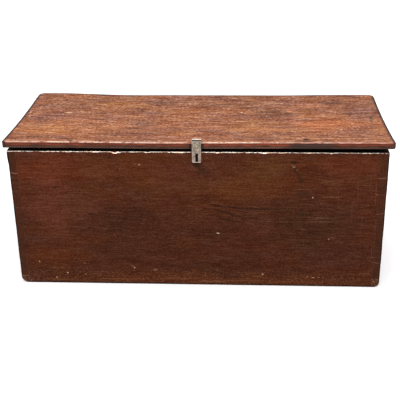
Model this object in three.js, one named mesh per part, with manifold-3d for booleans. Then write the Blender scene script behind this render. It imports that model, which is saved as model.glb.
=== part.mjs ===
// Dovetailed pine blanket chest with a hinged single-board lid and a drop hasp.
// Units are millimetres. +Z is up, +X runs along the length to the viewer's
// right, and -Y is the front. The origin is the centre of the case's footprint
// on the surface it stands on.
import * as THREE from 'three';
import { mergeVertices } from 'three/addons/utils/BufferGeometryUtils.js';
import Module from 'manifold-3d';

const wasm = await Module();
wasm.setup();

// ---------------------------------------------------------------- dimensions
// case
const CASE_LENGTH = 1070;
const CASE_DEPTH = 458;
const CASE_HEIGHT = 425;
const WALL = 24;               // thickness of the four case boards
const GAP = 0.3;               // clearance left between pieces that touch
// dovetails: [top, bottom] of each tail, measured at half the wall thickness
const TAIL_SLOPE = 1 / 7;
const TAILS_LEFT = [[358.3, 300.5], [249.5, 193.5], [139.5, 85.4]];
const TAILS_RIGHT = [[351.5, 297.7], [241.4, 187.0], [133.0, 80.1]];
const BACK_TAIL_SHIFT = 2.5;   // the back corners are laid out a little higher
// bottom
const BOTTOM_THICK = 18;
const RABBET_DEPTH = 12;
const BOTTOM_SPLITS = [-71.1, 72.8];   // y of the two joints between boards
const BOTTOM_JOINT = 0.8;
// worn lower corners of the case
const CORNER_C = 27;
const CORNER_WEAR_LEFT = 25;
const CORNER_WEAR_RIGHT = 18;
// lid: one wide board, cupped so that its front edge stands clear of the case
const LID_LEFT = -544.6;
const LID_RIGHT = 547.6;
const LID_FRONT = -241.4;
const LID_BACK = 228.5;
const LID_THICK = 20;
const LID_EDGE_ROUND = 4;
const LID_BACK_CORNER = 20;
const LID_FRONT_CORNER = 6;
const LID_TOP_FRONT_LEFT = 33.9;    // heights of the top face above the rim
const LID_TOP_FRONT_RISE = 1.6;
const LID_TOP_FRONT_DIP = 1.9;      // the front edge sags a little left of the middle
const LID_DIP_AT = 0.42;
const LID_DIP_WIDTH = 0.17;
const LID_LIFT_LEFT = 6.5;         // the back corners have warped up, outside the hinges
const LID_LIFT_RIGHT = 2.2;
const LID_TOP_MIDDLE = 21.8;
const LID_TOP_BACK = 24.7;
// butt hinges
const HINGE_X = [-236, 240];
const HINGE_LENGTH = 76;
const HINGE_BARREL_R = 4.0;
const HINGE_BORE_R = 2.5;
const HINGE_PIN_R = 2.15;
const HINGE_AXIS_Y = 234.0;
const HINGE_AXIS_Z = CASE_HEIGHT + 2.4;
const HINGE_LEAF = 1.9;
const HINGE_LEAF_Y = 207.5;         // front edge of both leaves
const HINGE_KNUCKLES = 5;
const KNUCKLE_GAP = 0.5;
const HINGE_SCREW_DX = [-27, 0, 27];
const HINGE_SCREW_Y = [214.5, 220.5, 214.5];
// hasp
const HASP_X = 2.0;
const HASP_WIDTH = 25.2;
const HASP_THICK = 2.2;
const HASP_BOTTOM_Z = 399;
const HASP_SLOT_X = HASP_X + 0.4;
const HASP_SLOT_W = 7.4;
const HASP_SLOT_Z = [401.7, 426.2];
const HASP_BARREL_R = 3.0;
const HASP_BORE_R = 1.9;
const HASP_PIN_R = 1.55;
const HASP_BARREL_BACK = 14.0;      // barrel axis behind the lid's front edge
const HASP_MIDDLE_KNUCKLE = 13.4;
const HASP_LEAF_THICK = 1.8;
const HASP_LEAF_WIDTH = 23.4;
// fasteners
const SCREW_HEAD_R = 3.6;
const SCREW_SHANK_R = 1.7;
const NAIL_LENGTH = 46;

// ------------------------------------------------------------ solid helpers
function toSolid(geometry) {
  const g = geometry.clone();
  g.deleteAttribute('normal');
  g.deleteAttribute('uv');
  const m = mergeVertices(g, 1e-4);
  const src = m.index.array;
  const tris = [];
  for (let i = 0; i < src.length; i += 3) {
    const a = src[i], b = src[i + 1], c = src[i + 2];
    if (a !== b && b !== c && c !== a) tris.push(a, b, c);
  }
  return new wasm.Manifold(new wasm.Mesh({
    numProp: 3,
    vertProperties: new Float32Array(m.attributes.position.array),
    triVerts: new Uint32Array(tris),
  }));
}

function toGeometry(solid) {
  const mesh = solid.getMesh();
  const n = mesh.numProp;
  const count = mesh.vertProperties.length / n;
  const pos = new Float32Array(count * 3);
  for (let i = 0; i < count; i++) {
    pos[3 * i] = mesh.vertProperties[n * i];
    pos[3 * i + 1] = mesh.vertProperties[n * i + 1];
    pos[3 * i + 2] = mesh.vertProperties[n * i + 2];
  }
  const g = new THREE.BufferGeometry();
  g.setAttribute('position', new THREE.BufferAttribute(pos, 3));
  g.setIndex(Array.from(mesh.triVerts));
  g.computeVertexNormals();
  return g;
}

function box(x0, x1, y0, y1, z0, z1) {
  const g = new THREE.BoxGeometry(x1 - x0, y1 - y0, z1 - z0);
  g.translate((x0 + x1) / 2, (y0 + y1) / 2, (z0 + z1) / 2);
  return toSolid(g);
}

function shapeOf(points) {
  const s = new THREE.Shape();
  points.forEach(([a, b], i) => (i ? s.lineTo(a, b) : s.moveTo(a, b)));
  s.closePath();
  return s;
}

// outline given as (y, z), extruded along x
function prismX(points, x0, x1) {
  const g = new THREE.ExtrudeGeometry(shapeOf(points), { depth: x1 - x0, bevelEnabled: false, steps: 1 });
  g.applyMatrix4(new THREE.Matrix4().set(0, 0, 1, x0, 1, 0, 0, 0, 0, 1, 0, 0, 0, 0, 0, 1));
  return toSolid(g);
}

// outline given as (x, z), extruded along y
function prismY(points, y0, y1) {
  const g = new THREE.ExtrudeGeometry(shapeOf(points), { depth: y1 - y0, bevelEnabled: false, steps: 1 });
  g.applyMatrix4(new THREE.Matrix4().set(1, 0, 0, 0, 0, 0, -1, y1, 0, 1, 0, 0, 0, 0, 0, 1));
  return toSolid(g);
}

function cylinderX(r, x0, x1, y, z, segments) {
  const g = new THREE.CylinderGeometry(r, r, x1 - x0, segments);
  g.rotateZ(Math.PI / 2);
  g.translate((x0 + x1) / 2, y, z);
  return toSolid(g);
}

// A turned body on the z axis from (radius, z) points that start and end on it.
function turned(points, segments) {
  return toSolid(new THREE.LatheGeometry(points.map(([r, z]) => new THREE.Vector2(r, z)), segments)
    .applyMatrix4(new THREE.Matrix4().makeRotationX(Math.PI / 2)));
}

function cutAll(solid, cutters) {
  return cutters.reduce((a, b) => a.subtract(b), solid);
}

// ------------------------------------------------------------------- layout
const HX = CASE_LENGTH / 2;
const HY = CASE_DEPTH / 2;
const INNER_X = HX - WALL;
const INNER_Y = HY - WALL;

// outline of one tail on the face of a long board; grow is added all round
function tailOutline(side, [top, bottom], grow, xOut) {
  const xIn = INNER_X - 6;
  const mid = HX - WALL / 2;
  const zTop = (x) => top + TAIL_SLOPE * (x - mid) + grow;
  const zBot = (x) => bottom - TAIL_SLOPE * (x - mid) - grow;
  const pts = [[xIn, zBot(xIn)], [xOut, zBot(xOut)], [xOut, zTop(xOut)], [xIn, zTop(xIn)]];
  return side > 0 ? pts : pts.map(([x, z]) => [-x, z]).reverse();
}

const tailSets = (front) => [[-1, TAILS_LEFT], [1, TAILS_RIGHT]].map(([side, set]) =>
  [side, set.map(([a, b]) => (front ? [a, b] : [a + BACK_TAIL_SHIFT, b + BACK_TAIL_SHIFT]))]);

// ---------------------------------------------------------------- fasteners
// A cut nail pointing up: rectangular head below, square tapering shank.
function nailSolid(grow) {
  const shank = new THREE.CylinderGeometry(0.9 * Math.SQRT2 + grow, 1.8 * Math.SQRT2 + grow, NAIL_LENGTH + 2 * grow, 4);
  shank.rotateY(Math.PI / 4);
  shank.rotateX(Math.PI / 2);
  shank.translate(0, 0, 1.2 + NAIL_LENGTH / 2);
  const head = new THREE.BoxGeometry(7 + 2 * grow, 5 + 2 * grow, 1.6 + 2 * grow);
  head.translate(0, 0, 0.8);
  return toSolid(shank).add(toSolid(head));
}

const NAIL_HEAD_Z = 0.6;
const nails = [];
for (const [i, x] of [-398, -141, 133, 402].entries()) {
  nails.push([x, -(HY - WALL / 2 + RABBET_DEPTH / 2 - 12) , i % 2 ? 0.12 : -0.08]);
  nails.push([x + 9, HY - WALL / 2 + RABBET_DEPTH / 2 - 12, i % 2 ? -0.1 : 0.15]);
}
for (const side of [-1, 1]) {
  for (const [i, y] of [-182, -98, -40, 37, 101, 179].entries()) {
    nails.push([side * (HX - WALL / 2 + RABBET_DEPTH / 2 - 12), y + side * 3, Math.PI / 2 + (i % 2 ? 0.1 : -0.14)]);
  }
}
const placedNail = ([x, y, turn], grow) =>
  nailSolid(grow).rotate([0, 0, (turn * 180) / Math.PI]).translate([x, y, NAIL_HEAD_Z]);
const nailHoles = nails.map((n) => placedNail(n, GAP)
  .add(box(-3.9, 3.9, -2.9, 2.9, -3, 0.8).rotate([0, 0, (n[2] * 180) / Math.PI]).translate([n[0], n[1], NAIL_HEAD_Z])));

// A countersunk slotted wood screw, head at z = 0, pointing down.
function screwSolid(length, grow, slotTurn) {
  const head = 2.0;
  const pts = [[0, -length - grow], [SCREW_SHANK_R * 0.55 + grow, -length * 0.82 - grow],
    [SCREW_SHANK_R + grow, -length * 0.7], [SCREW_SHANK_R + grow, -head - grow * 0.6],
    [SCREW_HEAD_R + grow, -0.25], [SCREW_HEAD_R + grow, grow ? 3 : 0], [0, grow ? 3 : 0]];
  const body = turned(pts, 10);
  if (grow) return body;
  return body.subtract(box(-6, 6, -0.45, 0.45, -1.0, 1).rotate([0, 0, slotTurn]));
}

// ------------------------------------------------------------------- pieces
const pieces = [];
const add = (name, solid, color, roughness, metalness) => pieces.push({ name, solid, color, roughness, metalness });

const WOOD_OUT = [0x5a3020, 0.62, 0];
const WOOD_LID = [0x9c6546, 0.6, 0];
const WOOD_RAW = [0x9a7650, 0.8, 0];
const IRON = [0x4a4541, 0.55, 0.9];
const STEEL = [0x8d8174, 0.45, 0.9];

// worn lower corners: what is taken off a square corner to leave a ball corner
function cornerCutter(sx, sy) {
  const c = CORNER_C;
  const d = sx < 0 ? CORNER_WEAR_LEFT : CORNER_WEAR_RIGHT;
  const r = Math.sqrt(2 * c * c + (c - d) * (c - d));
  const ball = new THREE.SphereGeometry(r, 28, 18);
  ball.translate(sx * (HX - c), sy * (HY - c), c);
  const block = box(...(sx < 0 ? [-HX - 1, -HX + c] : [HX - c, HX + 1]),
    ...(sy < 0 ? [-HY - 1, -HY + c] : [HY - c, HY + 1]), -1, c);
  return block.subtract(toSolid(ball));
}
const corners = [];
for (const sx of [-1, 1]) for (const sy of [-1, 1]) corners.push(cornerCutter(sx, sy));

const rabbet = box(-(INNER_X + RABBET_DEPTH), INNER_X + RABBET_DEPTH,
  -(INNER_Y + RABBET_DEPTH), INNER_Y + RABBET_DEPTH, -5, BOTTOM_THICK + GAP);

// hinge and hasp screws are placed first, so that the boards get their holes
const hingeParts = [];
const boardScrewHoles = [];
const lidScrewHoles = [];
const CASE_LEAF_Z = [CASE_HEIGHT + GAP, CASE_HEIGHT + GAP + HINGE_LEAF];
const LID_LEAF_Z = [HINGE_AXIS_Z + 0.2, HINGE_AXIS_Z + 0.2 + HINGE_LEAF];

for (const [k, hx] of HINGE_X.entries()) {
  const label = k ? 'hinge_right' : 'hinge_left';
  const x0 = hx - HINGE_LENGTH / 2;
  const step = HINGE_LENGTH / HINGE_KNUCKLES;
  const barrelOf = (odd) => {
    const list = [];
    for (let i = 0; i < HINGE_KNUCKLES; i++) {
      if ((i % 2 === 1) !== odd) continue;
      const a = x0 + i * step + (i ? KNUCKLE_GAP / 2 : 0);
      const b = x0 + (i + 1) * step - (i < HINGE_KNUCKLES - 1 ? KNUCKLE_GAP / 2 : 0);
      list.push([a, b]);
    }
    return list;
  };
  const leaf = (odd, [z0, z1]) => {
    let s = box(x0, x0 + HINGE_LENGTH, HINGE_LEAF_Y, HINGE_AXIS_Y - HINGE_BARREL_R - 0.4, z0, z1);
    for (const [a, b] of barrelOf(odd)) {
      s = s.add(box(a, b, HINGE_AXIS_Y - HINGE_BARREL_R - 2, HINGE_AXIS_Y - 1, z0, z1));
      s = s.add(cylinderX(HINGE_BARREL_R, a, b, HINGE_AXIS_Y, HINGE_AXIS_Z, 16));
    }
    return s.subtract(cylinderX(HINGE_BORE_R, x0 - 5, x0 + HINGE_LENGTH + 5, HINGE_AXIS_Y, HINGE_AXIS_Z, 12));
  };
  let caseLeaf = leaf(false, CASE_LEAF_Z);
  let lidLeaf = leaf(true, LID_LEAF_Z);
  HINGE_SCREW_DX.forEach((dx, i) => {
    const x = hx + dx, y = HINGE_SCREW_Y[i];
    const down = (s) => s.translate([x, y, CASE_LEAF_Z[1]]);
    const up = (s) => s.rotate([180, 0, 0]).translate([x + (i - 1) * -1.5, y, LID_LEAF_Z[0]]);
    caseLeaf = caseLeaf.subtract(down(screwSolid(26, GAP)));
    boardScrewHoles.push(down(screwSolid(26, GAP)));
    lidLeaf = lidLeaf.subtract(up(screwSolid(15, GAP)));
    lidScrewHoles.push(up(screwSolid(15, GAP)));
    hingeParts.push([`${label}_case_screw_${i + 1}`, down(screwSolid(26, 0, 20 + 55 * i + 30 * k))]);
    hingeParts.push([`${label}_lid_screw_${i + 1}`, up(screwSolid(15, 0, 70 - 40 * i + 25 * k))]);
  });
  const end = 0.9;
  const pin = cylinderX(HINGE_PIN_R, x0 - 1.2, x0 + HINGE_LENGTH + 1.2, HINGE_AXIS_Y, HINGE_AXIS_Z, 12);
  hingeParts.push([`${label}_case_leaf`, caseLeaf]);
  hingeParts.push([`${label}_lid_leaf`, lidLeaf]);
  hingeParts.push([`${label}_pin`, pin
    .add(cylinderX(HINGE_PIN_R + 0.9, x0 - 1.2 - end, x0 - GAP - 0.1, HINGE_AXIS_Y, HINGE_AXIS_Z, 12))
    .add(cylinderX(HINGE_PIN_R + 0.9, x0 + HINGE_LENGTH + GAP + 0.1, x0 + HINGE_LENGTH + 1.2 + end, HINGE_AXIS_Y, HINGE_AXIS_Z, 12))]);
}

// long boards with tails
for (const front of [true, false]) {
  const y0 = front ? -HY : INNER_Y;
  const y1 = front ? -INNER_Y : HY;
  const ty0 = front ? -HY : INNER_Y + GAP / 2;
  const ty1 = front ? -INNER_Y - GAP / 2 : HY;
  let s = box(-INNER_X + GAP / 2, INNER_X - GAP / 2, y0, y1, 0, CASE_HEIGHT);
  for (const [side, set] of tailSets(front)) {
    for (const t of set) s = s.add(prismY(tailOutline(side, t, -GAP / 2, HX), ty0, ty1));
  }
  s = cutAll(s, [rabbet, ...corners, ...nailHoles, ...(front ? [] : boardScrewHoles)]);
  add(front ? 'front_board' : 'back_board', s, ...WOOD_OUT);
}

// end boards with pins
for (const side of [-1, 1]) {
  const xs = side < 0 ? [-HX, -INNER_X - GAP / 2] : [INNER_X + GAP / 2, HX];
  let s = box(xs[0], xs[1], -HY, HY, 0, CASE_HEIGHT);
  for (const front of [true, false]) {
    const y0 = front ? -HY - 1 : INNER_Y - GAP / 2;
    const y1 = front ? -INNER_Y + GAP / 2 : HY + 1;
    for (const [sd, set] of tailSets(front)) {
      if (sd !== side) continue;
      for (const t of set) s = s.subtract(prismY(tailOutline(side, t, GAP / 2, HX + 1), y0, y1));
    }
  }
  s = cutAll(s, [rabbet, ...corners, ...nailHoles]);
  add(side < 0 ? 'left_end_board' : 'right_end_board', s, ...WOOD_OUT);
}

// bottom boards, laid lengthwise in the rabbet
const bx = INNER_X + RABBET_DEPTH - GAP;
const by = INNER_Y + RABBET_DEPTH - GAP;
const ys = [-by, ...BOTTOM_SPLITS.flatMap((y) => [y - BOTTOM_JOINT / 2, y + BOTTOM_JOINT / 2]), by];
['front', 'middle', 'back'].forEach((n, i) => {
  let s = box(-bx, bx, ys[2 * i], ys[2 * i + 1], 0, BOTTOM_THICK);
  s = cutAll(s, nailHoles);
  add(`bottom_board_${n}`, s, ...WOOD_RAW);
});
nails.forEach((n, i) => add(`bottom_nail_${String(i + 1).padStart(2, '0')}`, placedNail(n, 0), ...IRON));

// lid board: a cupped cross-section with rounded edges, drawn along the length,
// trimmed to a plan with rounded corners
function lidHeight(x, y) {
  const s = (y - LID_FRONT) / (LID_BACK - LID_FRONT);
  const t = (x - LID_LEFT) / (LID_RIGHT - LID_LEFT);
  const zf = LID_TOP_FRONT_LEFT + LID_TOP_FRONT_RISE * t - LID_TOP_FRONT_DIP * Math.exp(-(((t - LID_DIP_AT) / LID_DIP_WIDTH) ** 2));
  const soft = (v) => { const w = Math.min(1, Math.max(0, v)); return w * w * (3 - 2 * w); };
  const lift = LID_LIFT_LEFT * soft((0.29 - t) / 0.24) * (1 - (1 - s) ** 2) + LID_LIFT_RIGHT * soft((t - 0.72) / 0.2) * s;
  return CASE_HEIGHT + zf * (1 - s) * (1 - 2 * s) + 4 * LID_TOP_MIDDLE * s * (1 - s) + LID_TOP_BACK * s * (2 * s - 1) + lift;
}
const lidProfile = [];      // (y, depth below the top face), anticlockwise
{
  const n = 10, r = LID_EDGE_ROUND, m = 3;
  const y0 = LID_FRONT, y1 = LID_BACK, q = Math.PI / 2;
  for (let i = 0; i <= n; i++) lidProfile.push([y0 + r + ((y1 - y0 - 2 * r) * i) / n, -LID_THICK]);
  for (let i = 1; i <= m; i++) lidProfile.push([y1 - r + r * Math.sin((q * i) / m), -LID_THICK + r - r * Math.cos((q * i) / m)]);
  for (let i = 0; i < m; i++) lidProfile.push([y1 - r + r * Math.cos((q * i) / m), -r + r * Math.sin((q * i) / m)]);
  for (let i = 0; i <= n; i++) lidProfile.push([y1 - r - ((y1 - y0 - 2 * r) * i) / n, 0]);
  for (let i = 1; i <= m; i++) lidProfile.push([y0 + r - r * Math.sin((q * i) / m), -r + r * Math.cos((q * i) / m)]);
  for (let i = 0; i < m; i++) lidProfile.push([y0 + r - r * Math.cos((q * i) / m), -LID_THICK + r - r * Math.sin((q * i) / m)]);
}
const lidBlank = new THREE.ExtrudeGeometry(shapeOf(lidProfile), { depth: LID_RIGHT - LID_LEFT, steps: 24, bevelEnabled: false });
lidBlank.applyMatrix4(new THREE.Matrix4().set(0, 0, 1, LID_LEFT, 1, 0, 0, 0, 0, 1, 0, 0, 0, 0, 0, 1));
{
  const p = lidBlank.attributes.position;
  for (let i = 0; i < p.count; i++) p.setZ(i, p.getZ(i) + lidHeight(p.getX(i), p.getY(i)));
}
const lidPlan = new THREE.Shape();
{
  const rf = LID_FRONT_CORNER, rb = LID_BACK_CORNER;
  lidPlan.moveTo(LID_LEFT + rf, LID_FRONT - 1);
  lidPlan.lineTo(LID_RIGHT - rf, LID_FRONT - 1);
  lidPlan.lineTo(LID_RIGHT - rf, LID_FRONT);
  lidPlan.absarc(LID_RIGHT - rf, LID_FRONT + rf, rf, -Math.PI / 2, 0, false);
  lidPlan.lineTo(LID_RIGHT, LID_BACK - rb);
  lidPlan.absarc(LID_RIGHT - rb, LID_BACK - rb, rb, 0, Math.PI / 2, false);
  lidPlan.lineTo(LID_RIGHT - rb, LID_BACK + 1);
  lidPlan.lineTo(LID_LEFT + rb, LID_BACK + 1);
  lidPlan.lineTo(LID_LEFT + rb, LID_BACK);
  lidPlan.absarc(LID_LEFT + rb, LID_BACK - rb, rb, Math.PI / 2, Math.PI, false);
  lidPlan.lineTo(LID_LEFT, LID_FRONT + rf);
  lidPlan.absarc(LID_LEFT + rf, LID_FRONT + rf, rf, Math.PI, Math.PI * 1.5, false);
}
const lidTrim = new THREE.ExtrudeGeometry(lidPlan, { depth: 100, steps: 1, curveSegments: 5, bevelEnabled: false });
lidTrim.translate(0, 0, CASE_HEIGHT - 30);
const lidWhole = toSolid(lidBlank).intersect(toSolid(lidTrim));
const hingeSeats = HINGE_X.map((hx) => box(hx - HINGE_LENGTH / 2 - 0.6, hx + HINGE_LENGTH / 2 + 0.6,
  HINGE_LEAF_Y - 0.6, LID_BACK + 5, CASE_HEIGHT - 5, LID_LEAF_Z[1] + GAP));

// hasp frame: u runs back along the lid's top face from its front edge, w is
// normal to that face
const haspSlope = (lidHeight(HASP_X, LID_FRONT + 20) - lidHeight(HASP_X, LID_FRONT)) / 20;
const haspTilt = Math.atan(haspSlope);
const haspZ = lidHeight(HASP_X, LID_FRONT);
const uw = (u, w) => [LID_FRONT + u * Math.cos(haspTilt) - w * Math.sin(haspTilt),
  haspZ + u * Math.sin(haspTilt) + w * Math.cos(haspTilt)];
const LEAF_W0 = 0.4;
const LEAF_W1 = LEAF_W0 + HASP_LEAF_THICK;
const AXIS_W = HASP_BARREL_R + 0.4;
const [haspAxisY, haspAxisZ] = uw(HASP_BARREL_BACK, AXIS_W);
const STRAP_W0 = LEAF_W1 + 0.35;
const STRAP_W1 = STRAP_W0 + HASP_THICK;
const haspScrewAt = [[HASP_X - 6.5, 6.45], [HASP_X + 6.5, 6.35]];
const haspScrew = ([x, u], i, grow) => {
  const [y, z] = uw(u, LEAF_W1);
  return screwSolid(14, grow, 35 + 80 * i).rotate([(haspTilt * 180) / Math.PI, 0, 0]).translate([x, y, z]);
};
haspScrewAt.forEach((s, i) => lidScrewHoles.push(haspScrew(s, i, GAP)));

const lid = cutAll(lidWhole, [...hingeSeats, ...lidScrewHoles]);
add('lid_board', lid, ...WOOD_LID);

hingeParts.forEach(([name, s]) => add(name, s, ...IRON));

// hasp: fixed leaf under the strap, pin, and the strap itself
{
  const hw = HASP_LEAF_WIDTH / 2;
  const clear = HASP_BARREL_R + 0.5;
  const outline = (u0, u1, w0, w1) => [uw(u0, w0), uw(u1, w0), uw(u1, w1), uw(u0, w1)];
  const mk = HASP_MIDDLE_KNUCKLE / 2;
  let leaf = prismX(outline(2.1, HASP_BARREL_BACK - clear, LEAF_W0, LEAF_W1), HASP_X - hw, HASP_X + hw)
    .add(prismX(outline(HASP_BARREL_BACK - clear - 1, HASP_BARREL_BACK, LEAF_W0, LEAF_W1), HASP_X - mk, HASP_X + mk))
    .add(cylinderX(HASP_BARREL_R, HASP_X - mk, HASP_X + mk, haspAxisY, haspAxisZ, 16))
    .subtract(cylinderX(HASP_BORE_R, HASP_X - 40, HASP_X + 40, haspAxisY, haspAxisZ, 12));
  leaf = cutAll(leaf, haspScrewAt.map((s, i) => haspScrew(s, i, GAP)));
  add('hasp_lid_leaf', leaf, ...STEEL);
  add('hasp_pin', cylinderX(HASP_PIN_R, HASP_X - HASP_WIDTH / 2 - 0.3, HASP_X + HASP_WIDTH / 2 + 0.3, haspAxisY, haspAxisZ, 12), ...STEEL);
  haspScrewAt.forEach((s, i) => add(`hasp_screw_${i + 1}`, haspScrew(s, i, 0), ...STEEL));

  // strap profile in (y, z): along the lid's top, round the bend, straight down
  const yBack = LID_FRONT - 0.6;
  const yFront = yBack - HASP_THICK;
  const [ay, az] = uw(HASP_BARREL_BACK - 1.2, STRAP_W0);
  const [by2, bz2] = uw(HASP_BARREL_BACK - 1.2, STRAP_W1);
  const onLine = (w, y) => {
    const [y0, z0] = uw(0, w);
    return z0 + (y - y0) * Math.tan(haspTilt);
  };
  const rIn = 1.4, rOut = rIn + HASP_THICK;
  const zIn = onLine(STRAP_W0, yBack), zOut = onLine(STRAP_W1, yFront);
  const arc = (cy, cz, r, a0, a1, n) => Array.from({ length: n + 1 }, (_, i) => {
    const a = a0 + ((a1 - a0) * i) / n;
    return [cy + r * Math.cos(a), cz + r * Math.sin(a)];
  });
  const inner = arc(yBack + rIn, zIn - rIn, rIn, Math.PI / 2 + haspTilt, Math.PI, 4);
  const outer = arc(yFront + rOut, zOut - rOut, rOut, Math.PI, Math.PI / 2 + haspTilt, 6);
  const profile = [[ay, az], ...inner, [yBack, HASP_BOTTOM_Z], [yFront, HASP_BOTTOM_Z], ...outer, [by2, bz2]];
  let strap = prismX(profile, HASP_X - HASP_WIDTH / 2, HASP_X + HASP_WIDTH / 2);
  // the middle of the strap stops short of the fixed knuckle
  strap = strap.subtract(prismX(outline(HASP_BARREL_BACK - clear, HASP_BARREL_BACK + 8, -3, 12),
    HASP_X - mk - 0.4, HASP_X + mk + 0.4));
  for (const sd of [-1, 1]) {
    const a = HASP_X + sd * (mk + 0.4), b = HASP_X + (sd * HASP_WIDTH) / 2;
    strap = strap.add(cylinderX(HASP_BARREL_R, Math.min(a, b), Math.max(a, b), haspAxisY, haspAxisZ, 16));
  }
  strap = strap.subtract(cylinderX(HASP_BORE_R, HASP_X - 40, HASP_X + 40, haspAxisY, haspAxisZ, 12));
  // slot for a staple, with small corner radii
  const r = 1.6, sw = HASP_SLOT_W / 2;
  const slot = [];
  for (const [cx, cz, a0] of [[sw - r, HASP_SLOT_Z[0] + r, -90], [sw - r, HASP_SLOT_Z[1] - r, 0],
    [-sw + r, HASP_SLOT_Z[1] - r, 90], [-sw + r, HASP_SLOT_Z[0] + r, 180]]) {
    for (let i = 0; i <= 3; i++) {
      const a = ((a0 + 30 * i) * Math.PI) / 180;
      slot.push([HASP_SLOT_X + cx + r * Math.cos(a), cz + r * Math.sin(a)]);
    }
  }
  strap = strap.subtract(prismY(slot, yFront - 3, yBack + 3));
  // clipped lower corners
  for (const sd of [-1, 1]) {
    const x = HASP_X + (sd * HASP_WIDTH) / 2;
    strap = strap.subtract(prismY(sd > 0
      ? [[x - 1.6, HASP_BOTTOM_Z - 1], [x + 1, HASP_BOTTOM_Z - 1], [x + 1, HASP_BOTTOM_Z + 1.6], [x, HASP_BOTTOM_Z + 1.6], [x - 1.6, HASP_BOTTOM_Z]]
      : [[x - 1, HASP_BOTTOM_Z - 1], [x + 1.6, HASP_BOTTOM_Z - 1], [x + 1.6, HASP_BOTTOM_Z], [x, HASP_BOTTOM_Z + 1.6], [x - 1, HASP_BOTTOM_Z + 1.6]],
    yFront - 3, yBack + 3));
  }
  add('hasp_strap', strap, ...STEEL);
}

// ----------------------------------------------------------------- assembly
const group = new THREE.Group();
const caseGroup = new THREE.Group();
const lidGroup = new THREE.Group();
const haspGroup = new THREE.Group();
group.add(caseGroup, lidGroup);
lidGroup.add(haspGroup);
// the lid group turns about the hinge pins, the hasp group about its own pin
lidGroup.position.set(0, HINGE_AXIS_Y, HINGE_AXIS_Z);
haspGroup.position.set(0, haspAxisY - HINGE_AXIS_Y, haspAxisZ - HINGE_AXIS_Z);

for (const { name, solid, color, roughness, metalness } of pieces) {
  const g = toGeometry(solid);
  const mesh = new THREE.Mesh(g, new THREE.MeshStandardMaterial({ color, roughness, metalness }));
  mesh.name = name;
  if (name === 'hasp_strap') {
    g.translate(0, -haspAxisY, -haspAxisZ);
    haspGroup.add(mesh);
  } else if (name === 'lid_board' || /_lid_(leaf|screw_\d)$/.test(name) || /^hasp_(lid_leaf|pin|screw_\d)$/.test(name)) {
    g.translate(0, -HINGE_AXIS_Y, -HINGE_AXIS_Z);
    lidGroup.add(mesh);
  } else {
    caseGroup.add(mesh);
  }
}

export default group;
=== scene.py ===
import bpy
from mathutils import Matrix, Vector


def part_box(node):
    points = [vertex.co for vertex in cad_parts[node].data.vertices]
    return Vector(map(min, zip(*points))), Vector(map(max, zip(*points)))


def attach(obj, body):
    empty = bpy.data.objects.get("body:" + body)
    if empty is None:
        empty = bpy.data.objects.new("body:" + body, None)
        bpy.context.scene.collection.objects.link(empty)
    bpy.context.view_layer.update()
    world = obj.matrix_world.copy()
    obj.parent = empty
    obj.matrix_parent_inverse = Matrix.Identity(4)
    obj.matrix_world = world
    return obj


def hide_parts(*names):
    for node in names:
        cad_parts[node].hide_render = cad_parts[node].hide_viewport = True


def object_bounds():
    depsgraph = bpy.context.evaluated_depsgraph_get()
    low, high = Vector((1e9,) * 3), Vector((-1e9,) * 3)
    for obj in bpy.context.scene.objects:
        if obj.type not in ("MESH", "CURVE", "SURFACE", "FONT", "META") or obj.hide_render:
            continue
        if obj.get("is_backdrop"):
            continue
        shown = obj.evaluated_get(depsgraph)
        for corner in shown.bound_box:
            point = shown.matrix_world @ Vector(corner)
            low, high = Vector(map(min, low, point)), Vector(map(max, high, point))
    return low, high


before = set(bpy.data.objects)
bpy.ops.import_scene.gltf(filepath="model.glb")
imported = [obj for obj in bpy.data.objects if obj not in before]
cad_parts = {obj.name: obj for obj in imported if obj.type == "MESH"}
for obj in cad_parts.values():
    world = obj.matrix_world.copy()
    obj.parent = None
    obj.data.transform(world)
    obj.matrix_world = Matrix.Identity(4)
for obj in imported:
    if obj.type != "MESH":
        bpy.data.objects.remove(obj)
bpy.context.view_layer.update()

import math

import bpy
import bmesh
import numpy as np
from mathutils import Matrix, Vector, noise

# Sizes below are in millimetres in the frame's axes; meshes are made in metres.
MM = 0.001
HX, HY, H = 535.0, 229.0, 425.0
WALL = 24.0
IX, IY = HX - WALL, HY - WALL
GAP = 0.3
RAB_X, RAB_Y, RAB_Z = IX + 12.15, IY + 12.15, 18.3
TAILS = {-1: [(358.3, 300.5), (249.5, 193.5), (139.5, 85.4)],
         1: [(351.5, 297.7), (241.4, 187.0), (133.0, 80.1)]}
BACK_SHIFT = 2.5
SLOPE = 1 / 7
CORNER_C = 27.0
CORNER_D = {-1: 25.0, 1: 18.0}
LID_L, LID_R, LID_F, LID_B, LID_T = -544.6, 547.6, -241.4, 228.5, 20.0
HINGES = (-236.0, 240.0)
SEAT_Z = 429.85


# ------------------------------------------------------------------ camera
def make_camera():
    cam = bpy.data.cameras.new("camera")
    cam.sensor_width = 36.0
    cam.lens = 75.004
    cam.clip_start, cam.clip_end = 0.05, 60
    ob = bpy.data.objects.new("camera", cam)
    bpy.context.scene.collection.objects.link(ob)
    yaw, pitch, roll = -0.0617766, 0.4243808, -0.0163014
    cy, sy, cp, sp = math.cos(yaw), math.sin(yaw), math.cos(pitch), math.sin(pitch)
    fwd = Vector((sy * cp, cy * cp, -sp))
    right = Vector((cy, -sy, 0))
    up = right.cross(fwd)
    r2 = right * math.cos(roll) + up * math.sin(roll)
    u2 = up * math.cos(roll) - right * math.sin(roll)
    m = Matrix((r2, u2, -fwd)).transposed().to_4x4()
    m.translation = Vector((0.142762, -2.395171, 1.259180))
    ob.matrix_world = m
    bpy.context.scene.camera = ob
    return ob


make_camera()


# ------------------------------------------------------------- mesh helpers
def rnd(a, b, c, seed=0.0):
    """Smooth noise in -1..1 at a point."""
    return noise.noise(Vector((a + seed * 17.3, b - seed * 9.1, c + seed * 5.7)))


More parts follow.
